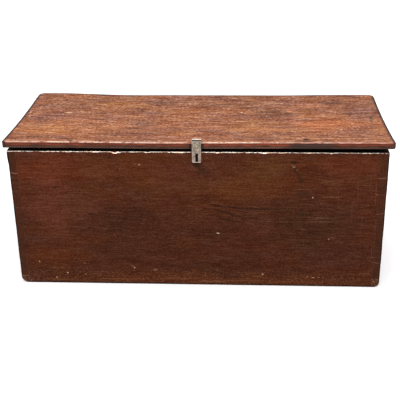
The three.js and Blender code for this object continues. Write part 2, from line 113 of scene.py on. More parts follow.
def lines(start, stop, step, fine=(), also=()):
    """Grid lines from start to stop, about step apart, with finer ones at both ends and some exact ones."""
    vals = {round(start, 4), round(stop, 4)}
    for f in fine:
        vals.add(round(start + f, 4))
        vals.add(round(stop - f, 4))
    keep = set(round(a, 4) for a in also)
    lo = start + (max(fine) if fine else 0)
    hi = stop - (max(fine) if fine else 0)
    n = max(1, int(round((hi - lo) / step)))
    base = [lo + (hi - lo) * i / n for i in range(n + 1)]
    vals |= {round(v, 4) for v in base}
    out = sorted(v for v in vals if all(abs(v - k) > step * 0.22 or v in keep for k in keep) or v in (round(start, 4), round(stop, 4)))
    out = sorted(set(out) | {k for k in keep if start < k < stop})
    return np.array(out)


def grid_solid(xs, ys, zs, keep):
    """The closed skin of the kept cells of a grid: vertices (n, 3) and quads."""
    cx, cy, cz = [(a[:-1] + a[1:]) / 2 for a in (xs, ys, zs)]
    X, Y, Z = np.meshgrid(cx, cy, cz, indexing="ij")
    K = np.zeros(np.array(X.shape) + 2, bool)
    K[1:-1, 1:-1, 1:-1] = keep(X, Y, Z)
    ny, nz = len(ys), len(zs)

    def vid(i, j, k):
        return (i * ny + j) * nz + k

    quads = []
    for ax in range(3):
        sl = [slice(1, -1)] * 3
        lo, hi = list(sl), list(sl)
        lo[ax], hi[ax] = slice(None, -1), slice(1, None)
        A, B = K[tuple(lo)], K[tuple(hi)]
        for flip, M in ((False, A & ~B), (True, ~A & B)):
            i, j, k = np.nonzero(M)
            if ax == 0:
                q = [vid(i, j, k), vid(i, j + 1, k), vid(i, j + 1, k + 1), vid(i, j, k + 1)]
            elif ax == 1:
                q = [vid(i, j, k), vid(i, j, k + 1), vid(i + 1, j, k + 1), vid(i + 1, j, k)]
            else:
                q = [vid(i, j, k), vid(i + 1, j, k), vid(i + 1, j + 1, k), vid(i, j + 1, k)]
            q = np.stack(q, 1)
            quads.append(q[:, ::-1] if flip else q)
    q = np.concatenate(quads)
    used, inv = np.unique(q.ravel(), return_inverse=True)
    i, rest = np.divmod(used, ny * nz)
    j, k = np.divmod(rest, nz)
    return np.stack([xs[i], ys[j], zs[k]], 1).astype(float), inv.reshape(-1, 4)


def new_object(name, co_mm, faces):
    me = bpy.data.meshes.new(name)
    me.from_pydata((np.asarray(co_mm) * MM).tolist(), [], np.asarray(faces).tolist())
    me.update()
    ob = bpy.data.objects.new(name, me)
    bpy.context.scene.collection.objects.link(ob)
    return ob


def weighted_bevel(ob, width, segments, weight, min_angle=50.0):
    """Rounds convex edges; weight(mid point in mm, direction) gives each edge's share of width."""
    me = ob.data
    bm = bmesh.new()
    bm.from_mesh(me)
    layer = bm.edges.layers.float.new("bevel_weight_edge")
    lim = math.radians(min_angle)
    for e in bm.edges:
        if len(e.link_faces) == 2 and e.is_convex and e.calc_face_angle(0) > lim:
            a, b = e.verts[0].co, e.verts[1].co
            e[layer] = max(0.0, min(1.0, weight((a + b) * 500.0, (b - a).normalized())))
    bm.to_mesh(me)
    bm.free()
    mod = ob.modifiers.new("round", "BEVEL")
    mod.limit_method = "WEIGHT"
    mod.width = width * MM
    mod.segments = segments
    mod.profile = 0.5
    mod.use_clamp_overlap = False
    mod.offset_type = "OFFSET"
    bpy.context.view_layer.update()
    dg = bpy.context.evaluated_depsgraph_get()
    new = bpy.data.meshes.new_from_object(ob.evaluated_get(dg))
    ob.modifiers.clear()
    ob.data = new
    bpy.data.meshes.remove(me)
    new.name = ob.name
    return ob


def coords(ob):
    co = np.zeros(len(ob.data.vertices) * 3)
    ob.data.vertices.foreach_get("co", co)
    return co.reshape(-1, 3) / MM


def normals(ob):
    n = np.zeros(len(ob.data.vertices) * 3, np.float32)
    ob.data.vertex_normals.foreach_get("vector", n)
    return n.reshape(-1, 3)


def set_coords(ob, co):
    ob.data.vertices.foreach_set("co", (co * MM).ravel())
    ob.data.update()


def smooth(ob, angle=35.0):
    ob.data.shade_smooth()
    bm = bmesh.new()
    bm.from_mesh(ob.data)
    lim = math.radians(angle)
    for e in bm.edges:
        if len(e.link_faces) == 2:
            e.smooth = e.calc_face_angle(0) < lim
    bm.to_mesh(ob.data)
    bm.free()


def mark_wear(ob):
    """A point attribute that is 1 on rounded arrises and 0 on the flats."""
    n = np.abs(normals(ob)).max(1)
    w = np.clip((0.995 - n) / 0.2, 0, 1)
    at = ob.data.attributes.new("wear", "FLOAT", "POINT")
    at.data.foreach_set("value", w.astype(np.float32))


def clean(ob):
    bm = bmesh.new()
    bm.from_mesh(ob.data)
    bmesh.ops.remove_doubles(bm, verts=bm.verts, dist=2e-6)
    bmesh.ops.dissolve_degenerate(bm, dist=1e-6, edges=bm.edges)
    bmesh.ops.recalc_face_normals(bm, faces=bm.faces)
    bm.to_mesh(ob.data)
    bm.free()
    ob.data.update()


# ------------------------------------------------------------- case boards
def tail_lines(side, back, grow):
    s = BACK_SHIFT if back else 0.0
    return [(t + s + grow, b + s - grow) for t, b in TAILS[side]]


def tail_offset(z, tl):
    """How far a height moves per mm of run towards the end: +1 at the top of a tail, -1 at its bottom."""
    pts = [(0.0, 0.0)]
    for t, b in sorted(tl, key=lambda q: q[1]):
        pts += [(b, -1.0), (t, 1.0)]
    pts.append((H, 0.0))
    return np.interp(z, [p[0] for p in pts], [p[1] for p in pts])


def ball_corner(co):
    """Wears the lower outer corners of the case to a ball."""
    for sx in (-1, 1):
        d = CORNER_D[sx]
        r = math.sqrt(2 * CORNER_C ** 2 + (CORNER_C - d) ** 2)
        for sy in (-1, 1):
            c = np.array([sx * (HX - CORNER_C), sy * (HY - CORNER_C), CORNER_C])
            v = co - c
            inside = (v[:, 0] * sx > 0) & (v[:, 1] * sy > 0) & (v[:, 2] < 0)
            ln = np.linalg.norm(v, axis=1)
            m = inside & (ln > r)
            co[m] = c + v[m] * (r / ln[m])[:, None]
    return co


RIM_CHIPS = [(-229, 10, 4.2), (-214, 6, 3.0), (-137, 11, 2.6), (-262, 8, 1.0), (376, 6, 1.6), (420, 6, 1.0), (-430, 10, 0.8),
             (60, 8, 1.0), (118, 6, 1.0), (232, 12, 1.0), (-330, 14, 0.8), (190, 9, 1.2), (482, 7, 1.0)]


def rim_wear(x):
    """Width of the worn arris along the case's front rim."""
    w = 1.9 + 0.6 * rnd(x / 60, 0.3, 0, 3) + 0.5 * rnd(x / 17, 1.3, 0, 4)
    return max(0.9, w)


def case_weight(p, d):
    """Worn widths of the case's arrises, as a share of 3.2 mm."""
    x, y, z = p
    top = z > H - 0.5
    bottom = z < 0.5
    if abs(d.z) > 0.9 and abs(x) > HX - 0.5 and abs(y) > HY - 0.5:
        return (1.5 + 0.7 * rnd(z / 45, x / 300, y / 300, 1) + 0.4 * rnd(z / 12, x, y, 2)) / 3.2
    if top and abs(d.x) > 0.9 and y < -HY + 0.5:
        return rim_wear(x) / 3.2
    if top and (abs(d.x) > 0.9 and y > HY - 0.5 or abs(d.y) > 0.9 and abs(x) > HX - 0.5):
        return (1.2 + 0.7 * rnd(x / 50, y / 50, z, 5)) / 3.2
    if top and (abs(abs(x) - IX) < 0.6 and abs(d.y) > 0.9 and abs(y) < IY or abs(abs(y) - IY) < 0.6 and abs(d.x) > 0.9):
        return (1.0 + 0.6 * rnd(x / 40, y / 40, z, 6)) / 3.2
    if bottom and (abs(d.x) > 0.9 and abs(y) > HY - 0.5 or abs(d.y) > 0.9 and abs(x) > HX - 0.5):
        return (2.0 + 0.9 * rnd(x / 40, y / 40, z, 7)) / 3.2
    return (0.75 + 0.3 * rnd(x / 14, y / 14, z / 14, 8)) / 3.2


def undulate(co, axis, sign, seed):
    """Hand-planed hollows of a few tenths of a millimetre, only ever into the board."""
    out = co.copy()
    flat = HY if axis == 1 else HX
    m = np.nonzero(np.abs(co[:, axis] * sign - flat) < 3.5)[0]
    for i in m:
        x, y, z = co[i]
        u = x if axis == 1 else y
        k = min(1.0, (flat - abs(u if axis == 0 else 0) * 0) * 1.0)
        d = 0.28 * (1 + rnd(u / 210, z / 46, 0, seed)) + 0.1 * (1 + rnd(u / 60, z / 13, 0, seed + 1))
        out[i, axis] -= sign * d * k
    return out


def long_board(name, back):
    sy = 1 if back else -1
    zs = lines(0, H, 8.0, fine=(4, 8, 12), also=[t for s in (-1, 1) for p in tail_lines(s, back, -GAP / 2) for t in p] + [RAB_Z, 24, 30])
    xs = lines(-HX, HX, 5.0, fine=(4, 8, 12, 16, 20), also=[-IX + 0.15, IX - 0.15, -IX + 7, IX - 7])
    ys = np.sort(np.array([HY, HY - 6, RAB_Y, HY - 18, IY]) * sy)
    tl = {s: tail_lines(s, back, -GAP / 2) for s in (-1, 1)}

    def keep(X, Y, Z):
        k = np.abs(X) < IX - 0.15
        for s in (-1, 1):
            for t, b in tl[s]:
                k |= (X * s > IX - 0.15) & (Z < t) & (Z > b)
        k &= ~((np.abs(X) < RAB_X) & (np.abs(Y) < RAB_Y) & (Z < RAB_Z))
        return k

    co, q = grid_solid(xs, ys, zs, keep)
    for s in (-1, 1):
        m = co[:, 0] * s > 470
        run = np.clip(np.abs(co[m, 0]) - (HX - 12), -41, 12)
        fade = np.clip((np.abs(co[m, 0]) - 470) / 41, 0, 1)
        run = np.where(np.abs(co[m, 0]) < IX - 1, -12 * fade, run)
        co[m, 2] += SLOPE * run * tail_offset(co[m, 2], tl[s])
    ob = new_object(name, co, q)
    weighted_bevel(ob, 3.2, 3, case_weight)
    co = ball_corner(coords(ob))
    co = undulate(co, 1, sy, 11 if back else 12)
    if not back:
        for i in np.nonzero((co[:, 2] > H - 9) & (co[:, 1] < -HY + 6))[0]:
            x, y, z = co[i]
            for cx, hw, dep in RIM_CHIPS:
                f = 1 - ((x - cx) / hw) ** 2
                if f > 0:
                    g = f * max(0.0, 1 - (H - z) / 7.5)
                    co[i, 1] += dep * 0.55 * g
                    co[i, 2] -= dep * 0.28 * g
    set_coords(ob, co)
    clean(ob)
    mark_wear(ob)
    smooth(ob)
    return ob


def end_board(name, side):
    zf = [t for p in tail_lines(side, False, GAP / 2) for t in p]
    zb = [t for p in tail_lines(side, True, GAP / 2) for t in p]
    zs = lines(0, H, 8.0, fine=(4, 8, 12), also=zf + zb + [RAB_Z, 24, 30])
    ys = lines(-HY, HY, 7.0, fine=(4, 8, 12, 16, 20), also=[-IY + 0.15, IY - 0.15, -RAB_Y, RAB_Y, IY - 8, 8 - IY])
    xs = np.sort(np.array([HX, HX - 6, RAB_X, HX - 18, IX + 0.15]) * side)
    tl = {False: tail_lines(side, False, GAP / 2), True: tail_lines(side, True, GAP / 2)}

    def keep(X, Y, Z):
        k = np.ones(X.shape, bool)
        for back in (False, True):
            s = 1 if back else -1
            for t, b in tl[back]:
                k &= ~((Y * s > IY - 0.15) & (Z < t) & (Z > b))
        k &= ~((np.abs(X) < RAB_X) & (np.abs(Y) < RAB_Y) & (Z < RAB_Z))
        return k

    co, q = grid_solid(xs, ys, zs, keep)
    for back in (False, True):
        s = 1 if back else -1
        m = co[:, 1] * s > 170
        fade = np.clip((np.abs(co[m, 1]) - 170) / (IY - 0.15 - 170), 0, 1)
        run = np.abs(co[m, 0]) - (HX - 12)
        co[m, 2] += SLOPE * run * fade * tail_offset(co[m, 2], tl[back])
    ob = new_object(name, co, q)
    weighted_bevel(ob, 3.2, 3, case_weight)
    co = ball_corner(coords(ob))
    co = undulate(co, 0, side, 13 + side)
    if side < 0:
        def soft(v):
            w = np.clip(v, 0, 1)
            return w * w * (3 - 2 * w)

        proud = 2.4 * soft((co[:, 2] - 376) / 34) * soft((-co[:, 1] - 60) / 140) * (co[:, 0] < -HX + 4)
        co[:, 0] -= proud
    set_coords(ob, co)
    clean(ob)
    mark_wear(ob)
    smooth(ob)
    return ob


# ------------------------------------------------------------------ bottom
def bottom_board(name, y0, y1, nails, seed):
    bx = IX + 12 - GAP
    nl = [n for n in nails if y0 < n[1] < y1]
    xs = lines(-bx, bx, 12.0, fine=(3, 6), also=[n[0] + s * 4.7 for n in nl for s in (-1, 1)])
    ys = lines(y0, y1, 12.0, fine=(3, 6), also=[n[1] + s * 4.7 for n in nl for s in (-1, 1)])
    zs = np.array([0, 2.7, 9, 18.0])

    def keep(X, Y, Z):
        k = np.ones(X.shape, bool)
        for nx, ny, _ in nl:
            k &= ~((abs(X - nx) < 4.7) & (abs(Y - ny) < 4.7) & (Z < 2.7))
        return k

    co, q = grid_solid(xs, ys, zs, keep)
    ob = new_object(name, co, q)
    weighted_bevel(ob, 1.2, 2, lambda p, d: 0.75 + 0.3 * rnd(p[0] / 30, p[1] / 30, p[2], seed))
    co = coords(ob)
    for i in np.nonzero(co[:, 2] > 12)[0]:
        co[i, 2] -= 0.15 * (1 + rnd(co[i, 0] / 150, co[i, 1] / 40, 0, seed))
    set_coords(ob, co)
    clean(ob)
    mark_wear(ob)
    smooth(ob)
    return ob


# --------------------------------------------------------------------- lid
def lid_height(x, y):
    """The cupped and slightly twisted top face."""
    s = (y - LID_F) / (LID_B - LID_F)
    t = (x - LID_L) / (LID_R - LID_L)
    zf = 33.9 + 1.6 * t - 1.9 * np.exp(-(((t - 0.42) / 0.17) ** 2))

    def soft(v):
        w = np.clip(v, 0, 1)
        return w * w * (3 - 2 * w)

    lift = 6.5 * soft((0.29 - t) / 0.24) * (1 - (1 - s) ** 2) + 2.2 * soft((t - 0.72) / 0.2) * s
    return H + zf * (1 - s) * (1 - 2 * s) + 4 * 21.8 * s * (1 - s) + 24.7 * s * (2 * s - 1) + lift


def lid_weight(p, d):
    x, y, z = p
    up = z > -LID_T / 2
    front = y < LID_F + 30 and abs(d.x) > 0.7
    if up and front:
        return (4.3 + 0.9 * rnd(x / 70, 0, 0, 21) + 0.5 * rnd(x / 15, 0, 0, 22)) / 6
    if up:
        return (3.8 + 0.8 * rnd(x / 60, y / 60, 0, 23) + 0.4 * rnd(x / 14, y / 14, 0, 24)) / 6
    return (2.6 + 0.7 * rnd(x / 50, y / 50, 0, 25)) / 6


LID_DENTS = [(301, -233, 9, 10, 2.6), (318, -238, 14, 6, 1.6), (275, -238, 10, 6, 1.4), (-60, -240, 7, 5, 1.2), (165, -240, 6, 5, 1.0),
             (-300, -240, 9, 5, 1.1), (-420, -238, 12, 6, 1.3), (-180, -240, 5, 4, 0.9), (430, -240, 8, 5, 1.1), (62, -240, 5, 4, 0.8),
             (-495, -240, 9, 5, 1.0), (505, -239, 9, 5, 1.2)]


def lid_board(name):
    seats = [h + s * w for h in HINGES for s in (-1, 1) for w in (38.6, 38.9)]
    xs = lines(LID_L, LID_R, 6.0, fine=(8, 12, 16, 20, 25), also=seats)
    ys = lines(LID_F, LID_B, 7.0, fine=(7.5, 11, 15, 20, 25), also=[206.6, 206.9])
    zs = np.array([-LID_T, -LID_T / 2, 0])
    co, q = grid_solid(xs, ys, zs, lambda X, Y, Z: np.ones(X.shape, bool))
    for sx, ex in ((-1, LID_L), (1, LID_R)):
        for sy, ey, r in ((-1, LID_F, 7.0), (1, LID_B, 20.0)):
            cx, cy = ex - sx * r, ey - sy * r
            vx, vy = co[:, 0] - cx, co[:, 1] - cy
            ln = np.hypot(vx, vy)
            m = (vx * sx > 0) & (vy * sy > 0) & (ln > r)
            co[m, 0] = cx + vx[m] * r / ln[m]
            co[m, 1] = cy + vy[m] * r / ln[m]
    ob = new_object(name, co, q)
    weighted_bevel(ob, 6.0, 5, lid_weight)
    co = coords(ob)
    flat = co.copy()
    top = flat[:, 2] > -LID_T / 2 - 1
    co[:, 2] += lid_height(co[:, 0], co[:, 1])
    for i in np.nonzero(top)[0]:
        x, y, _ = flat[i]
        d = 0.22 * (1 + rnd(x / 230, y / 38, 0, 31)) + 0.08 * (1 + rnd(x / 50, y / 11, 0, 32))
        for cx, cy, rx, ry, dep in LID_DENTS:
            f = 1 - ((x - cx) / rx) ** 2 - ((y - cy) / (ry * 1.4)) ** 2
            if f > 0:
                d += dep * f * (1 + 0.4 * rnd(x / 4, y / 4, 0, 33))
                if y < LID_F + 5:
                    co[i, 1] += 0.5 * dep * f
        co[i, 2] -= d
    # shallow seats for the hinge leaves
    for hx in HINGES:
        m = (np.abs(co[:, 0] - hx) < 38.75) & (co[:, 1] > 206.75) & ~top
        co[m, 2] = np.maximum(co[m, 2], SEAT_Z)
    set_coords(ob, co)
    # depth below the cupped top surface, in mm, for the edge's layers
    at = ob.data.attributes.new("deep", "FLOAT", "POINT")
    at.data.foreach_set("value", (lid_height(co[:, 0], co[:, 1]) - co[:, 2]).astype(np.float32))
    mark_wear(ob)
    smooth(ob, 40)
    return ob


def refined(name, node, width, segments=2, angle=30.0):
    """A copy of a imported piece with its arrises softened."""
    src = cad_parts[node]
    ob = bpy.data.objects.new(name, src.data.copy())
    bpy.context.scene.collection.objects.link(ob)
    bm = bmesh.new()
    bm.from_mesh(ob.data)
    bmesh.ops.remove_doubles(bm, verts=bm.verts, dist=2e-6)
    bmesh.ops.dissolve_limit(bm, angle_limit=math.radians(0.6), verts=bm.verts, edges=bm.edges)
    bm.to_mesh(ob.data)
    bm.free()
    mod = ob.modifiers.new("soft", "BEVEL")
    mod.limit_method = "ANGLE"
    mod.angle_limit = math.radians(angle)
    mod.width = width * MM
    mod.segments = segments
    mod.use_clamp_overlap = True
    bpy.context.view_layer.update()
    dg = bpy.context.evaluated_depsgraph_get()
    new = bpy.data.meshes.new_from_object(ob.evaluated_get(dg))
    ob.modifiers.clear()
    ob.data = new
    clean(ob)
    smooth(ob, 40)
    return ob


# --------------------------------------------------------------- materials
def lin(r, g, b):
    return tuple((c / 255 / 12.92) if c / 255 <= 0.04045 else ((c / 255 + 0.055) / 1.055) ** 2.4 for c in (r, g, b)) + (1.0,)


def link_or_set(tree, socket, v):
    if isinstance(v, bpy.types.NodeSocket):
        tree.links.new(v, socket)
    elif v is not None:
        socket.default_value = v


def mark_group():
    """One placed mark: an ellipse in (u, v), turned and softened by its six numbers, painted over a colour."""
    found = bpy.data.node_groups.get("mark")
    if found:
        return found
    g = bpy.data.node_groups.new("mark", "ShaderNodeTree")
    for n, kind in (("Colour", "Color"), ("u", "Float"), ("v", "Float"), ("mask", "Float"), ("au", "Float"), ("bu", "Float"), ("cu", "Float"),
                    ("av", "Float"), ("bv", "Float"), ("cv", "Float"), ("outer", "Float"), ("inner", "Float"), ("strength", "Float"), ("Paint", "Color")):
        g.interface.new_socket(n, in_out="INPUT", socket_type="NodeSocket" + kind)
    g.interface.new_socket("Colour", in_out="OUTPUT", socket_type="NodeSocketColor")
    gi, go = g.nodes.new("NodeGroupInput"), g.nodes.new("NodeGroupOutput")
    i = gi.outputs

    def math_node(op, *v):
        n = g.nodes.new("ShaderNodeMath")
        n.operation = op
        for s, x in zip(n.inputs, v):
            link_or_set(g, s, x)
        return n.outputs[0]

    du = math_node("MULTIPLY_ADD", i["v"], i["bu"], math_node("MULTIPLY_ADD", i["u"], i["au"], i["cu"]))
    dv = math_node("MULTIPLY_ADD", i["v"], i["bv"], math_node("MULTIPLY_ADD", i["u"], i["av"], i["cv"]))
    d2 = math_node("MULTIPLY_ADD", du, du, math_node("MULTIPLY", dv, dv))
    mr = g.nodes.new("ShaderNodeMapRange")
    mr.interpolation_type = "SMOOTHSTEP"
    for k, v in enumerate((d2, i["outer"], i["inner"], 0.0, i["strength"])):
        link_or_set(g, mr.inputs[k], v)
    f = math_node("MULTIPLY", mr.outputs[0], i["mask"])
    mx = g.nodes.new("ShaderNodeMix")
    mx.data_type = "RGBA"
    for k, v in ((0, f), (6, i["Colour"]), (7, i["Paint"])):
        link_or_set(g, mx.inputs[k], v)
    g.links.new(mx.outputs[2], go.inputs[0])
    return g


class Tree:
    """A material's nodes. Places are in mm in the object's own axes; axis is the one that the grain follows."""

    def __init__(self, name, axis="X"):
        self.mat = bpy.data.materials.new(name)
        self.mat.use_nodes = True
        self.axis = axis
        self.t = self.mat.node_tree
        self.t.nodes.clear()
        self.out = self.t.nodes.new("ShaderNodeOutputMaterial")
        self.bsdf = self.t.nodes.new("ShaderNodeBsdfPrincipled")
        self.t.links.new(self.bsdf.outputs[0], self.out.inputs[0])
        tc = self.t.nodes.new("ShaderNodeTexCoord")
        self.obj = tc.outputs["Object"]
        self.x, self.y, self.z = (self.math("MULTIPLY", c, 1000.0) for c in self.sep(self.obj))
        self.nx, self.ny, self.nz = self.sep(tc.outputs["Normal"])

    def put(self, socket, v):
        link_or_set(self.t, socket, v)

    def math(self, op, a, b=None, c=None):
        n = self.t.nodes.new("ShaderNodeMath")
        n.operation = op
        for s, v in zip(n.inputs, (a, b, c)):
            self.put(s, v)
        return n.outputs[0]

    def sum(self, a, b, k=1.0):
        """a + k b"""
        return self.math("ADD", a, b) if k == 1.0 else self.math("MULTIPLY_ADD", b, k, a)

    def mul(self, *v):
        out = v[0]
        for w in v[1:]:
            out = self.math("MULTIPLY", out, w)
        return out

    def away(self, v, centre):
        return self.math("ABSOLUTE", self.math("SUBTRACT", v, float(centre)))

    def sep(self, v):
        n = self.t.nodes.new("ShaderNodeSeparateXYZ")
        self.put(n.inputs[0], v)
        return n.outputs[0], n.outputs[1], n.outputs[2]

    def noise(self, stretch, detail=3.0, rough=0.55, off=(0, 0, 0), colour=False):
        """Noise in space; stretch gives the size in mm of one cell along x, y and z."""
        m = self.t.nodes.new("ShaderNodeMapping")
        self.put(m.inputs[0], self.obj)
        m.inputs["Location"].default_value = off
        m.inputs["Scale"].default_value = tuple(1000.0 / s for s in stretch)
        n = self.t.nodes.new("ShaderNodeTexNoise")
        self.put(n.inputs["Vector"], m.outputs[0])
        n.inputs["Scale"].default_value = 1.0
        n.inputs["Detail"].default_value = detail
        n.inputs["Roughness"].default_value = rough
        return n.outputs["Color"] if colour else n.outputs["Fac"]

    def fibre(self, along, across, detail=3.0, rough=0.55, off=(0, 0, 0)):
        """Noise stretched along the grain."""
        s = (along, across, across) if self.axis == "X" else (across, along, across)
        return self.noise(s, detail, rough, off)

    def noise1(self, v, size, detail=3.0, rough=0.55, off=0.0):
        n = self.t.nodes.new("ShaderNodeTexNoise")
        n.noise_dimensions = "1D"
        self.put(n.inputs["W"], self.math("MULTIPLY_ADD", v, 1.0 / size, off))
        n.inputs["Scale"].default_value = 1.0
        n.inputs["Detail"].default_value = detail
        n.inputs["Roughness"].default_value = rough
        return n.outputs["Fac"]

    def wander(self, size, amount, seed, detail=3.0):
        """Three smooth offsets in mm, to give placed marks ragged edges."""
        n = self.t.nodes.new("ShaderNodeSeparateColor")
        self.put(n.inputs[0], self.noise((size, size, size), detail, 0.6, (seed, seed * 2.0, 1.0), colour=True))
        return [self.math("MULTIPLY_ADD", n.outputs[k], amount, -0.5 * amount) for k in range(3)]

    def range(self, v, a, b, c=0.0, d=1.0, smooth=True):
        n = self.t.nodes.new("ShaderNodeMapRange")
        n.interpolation_type = "SMOOTHSTEP" if smooth else "LINEAR"
        n.clamp = True
        for s, x in zip(n.inputs, (v, a, b, c, d)):
            self.put(s, x)
        return n.outputs[0]

    def mix(self, fac, a, b, blend="MIX"):
        n = self.t.nodes.new("ShaderNodeMix")
        n.data_type = "RGBA"
        n.blend_type = blend
        n.clamp_factor = True
        self.put(n.inputs[0], fac)
        self.put(n.inputs[6], a)
        self.put(n.inputs[7], b)
        return n.outputs[2]

    def over(self, col, *rows):
        """Paints (mask, strength, colour) rows over a colour in turn."""
        for m, k, c in rows:
            col = self.mix(self.math("MULTIPLY", m, k), col, c)
        return col

    def times(self, col, f):
        """The colour times a factor, a colour or a socket."""
        if isinstance(f, bpy.types.NodeSocket):
            n = self.t.nodes.new("ShaderNodeCombineColor")
            for s in n.inputs:
                self.put(s, f)
            f = n.outputs[0]
        return self.mix(1.0, col, f, "MULTIPLY")

    def shade(self, col, f, step, tone):
        """The colour made lighter or darker by the same step in red, green and blue, as displayed. f is a factor around 1; tone is the factor that col gets later."""
        n, m = self.t.nodes.new("ShaderNodeSeparateColor"), self.t.nodes.new("ShaderNodeCombineColor")
        self.put(n.inputs[0], col)
        e = self.math("SUBTRACT", f, 1.0)
        for k, gain in enumerate((0.98, 1.02, 1.12)):
            v = self.math("MULTIPLY_ADD", e, step * gain / tone[k] ** (1 / 2.2), self.math("POWER", n.outputs[k], 1 / 2.2))
            self.put(m.inputs[k], self.math("POWER", self.math("MAXIMUM", v, 0.03), 2.2))
        return m.outputs[0]

    def micro(self, layers):
        """A brightness factor around 1, summed from stretched noises: (mm along the grain, across, strength, octaves)."""
        f = 1.0
        for k, (la, lb, s, det) in enumerate(layers):
            n = self.fibre(la, lb, det, 0.62, (k * 3.7, k * 1.9, k * 5.1))
            f = self.math("MULTIPLY_ADD", n, s, self.math("ADD", f, -0.5 * s) if isinstance(f, bpy.types.NodeSocket) else f - 0.5 * s)
        return self.math("MAXIMUM", f, 0.12)

    def mark(self, col, u, v, mask, rows, inner, outer=1.0, gain=(1.0, 1.0, 1.0)):
        """Placed marks: (centre u, v, radius along, across, turn in degrees, colour, strength). gain is a factor on their colours."""
        for cu, cv, ru, rv, turn, c, k in rows:
            n = self.t.nodes.new("ShaderNodeGroup")
            n.node_tree = mark_group()
            ct, st = math.cos(math.radians(turn)), math.sin(math.radians(turn))
            au, bu, av, bv = ct / ru, st / ru, -st / rv, ct / rv
            vals = {"Colour": col, "u": u, "v": v, "mask": mask, "au": au, "bu": bu, "cu": -(au * cu + bu * cv), "av": av, "bv": bv, "cv": -(av * cu + bv * cv),
                    "outer": outer ** 2, "inner": inner ** 2, "strength": k, "Paint": tuple(a * b for a, b in zip(lin(*c), gain)) + (1.0,)}
            for key, val in vals.items():
                self.put(n.inputs[key], val)
            col = n.outputs[0]
        return col

    def attr(self, name):
        n = self.t.nodes.new("ShaderNodeAttribute")
        n.attribute_name = name
        return n.outputs["Fac"]

    def bump(self, height, strength, dist_mm):
        n = self.t.nodes.new("ShaderNodeBump")
        n.inputs["Strength"].default_value = strength
        n.inputs["Distance"].default_value = dist_mm * MM
        self.put(n.inputs["Height"], height)
        return n.outputs[0]

    def late_wood(self, pith, spread, ring, slope, seed):
        """Growth rings (0..1) of a board cut from a log whose pith runs along the grain."""
        a, b, c = (self.x, self.y, self.z) if self.axis == "X" else (self.y, self.x, self.z)
        n1 = self.fibre(420, 110, 2, 0.5, (seed, seed * 2, 0))
        n2 = self.fibre(260, 80, 2, 0.5, (seed + 5.3, 0, seed))
        wob = self.fibre(50, 8, 3, 0.6, (seed, 3, 1))
        db = self.sum(self.math("SUBTRACT", b, pith[0] + spread[0]), n1, spread[0] * 2.0)
        db = self.sum(db, a, slope)
        dc = self.sum(self.math("SUBTRACT", c, pith[1] + spread[1]), n2, spread[1] * 2.0)
        r = self.math("SQRT", self.math("MULTIPLY_ADD", db, db, self.mul(dc, dc)))
        r = self.sum(r, wob, 1.8)
        yr = self.noise1(r, 22.0, 2, 0.5, seed * 3.0)
        fr = self.math("FRACT", self.sum(self.math("MULTIPLY", r, 1.0 / ring), yr, 2.2))
        return self.mul(self.range(fr, 0.25, 0.86), self.range(fr, 1.0, 0.90))


RAW_A, RAW_B, RAW_LATE, RAW_DIRT = (168, 126, 84), (138, 100, 64), (104, 68, 40), (84, 58, 40)


def raw_wood(T, late, seed):
    raw = T.mix(T.range(T.fibre(200, 36, 3, off=(seed, 9, 2)), 0.35, 0.65), lin(*RAW_A), lin(*RAW_B))
    raw = T.over(raw, (late, 0.5, lin(*RAW_LATE)), (T.range(T.fibre(80, 45, 4, 0.62, (1, seed, 5)), 0.54, 0.74), 0.5, lin(*RAW_DIRT)))
    return T.times(raw, T.micro([(60, 1.6, 0.5, 3), (24, 7, 0.4, 3)]))


FRONT_TONE = (0.575, 0.462, 0.305, 1.0)
LID_TONE = (0.65, 0.59, 0.50, 1.0)
PALE = (1.0, 1.09, 1.58)


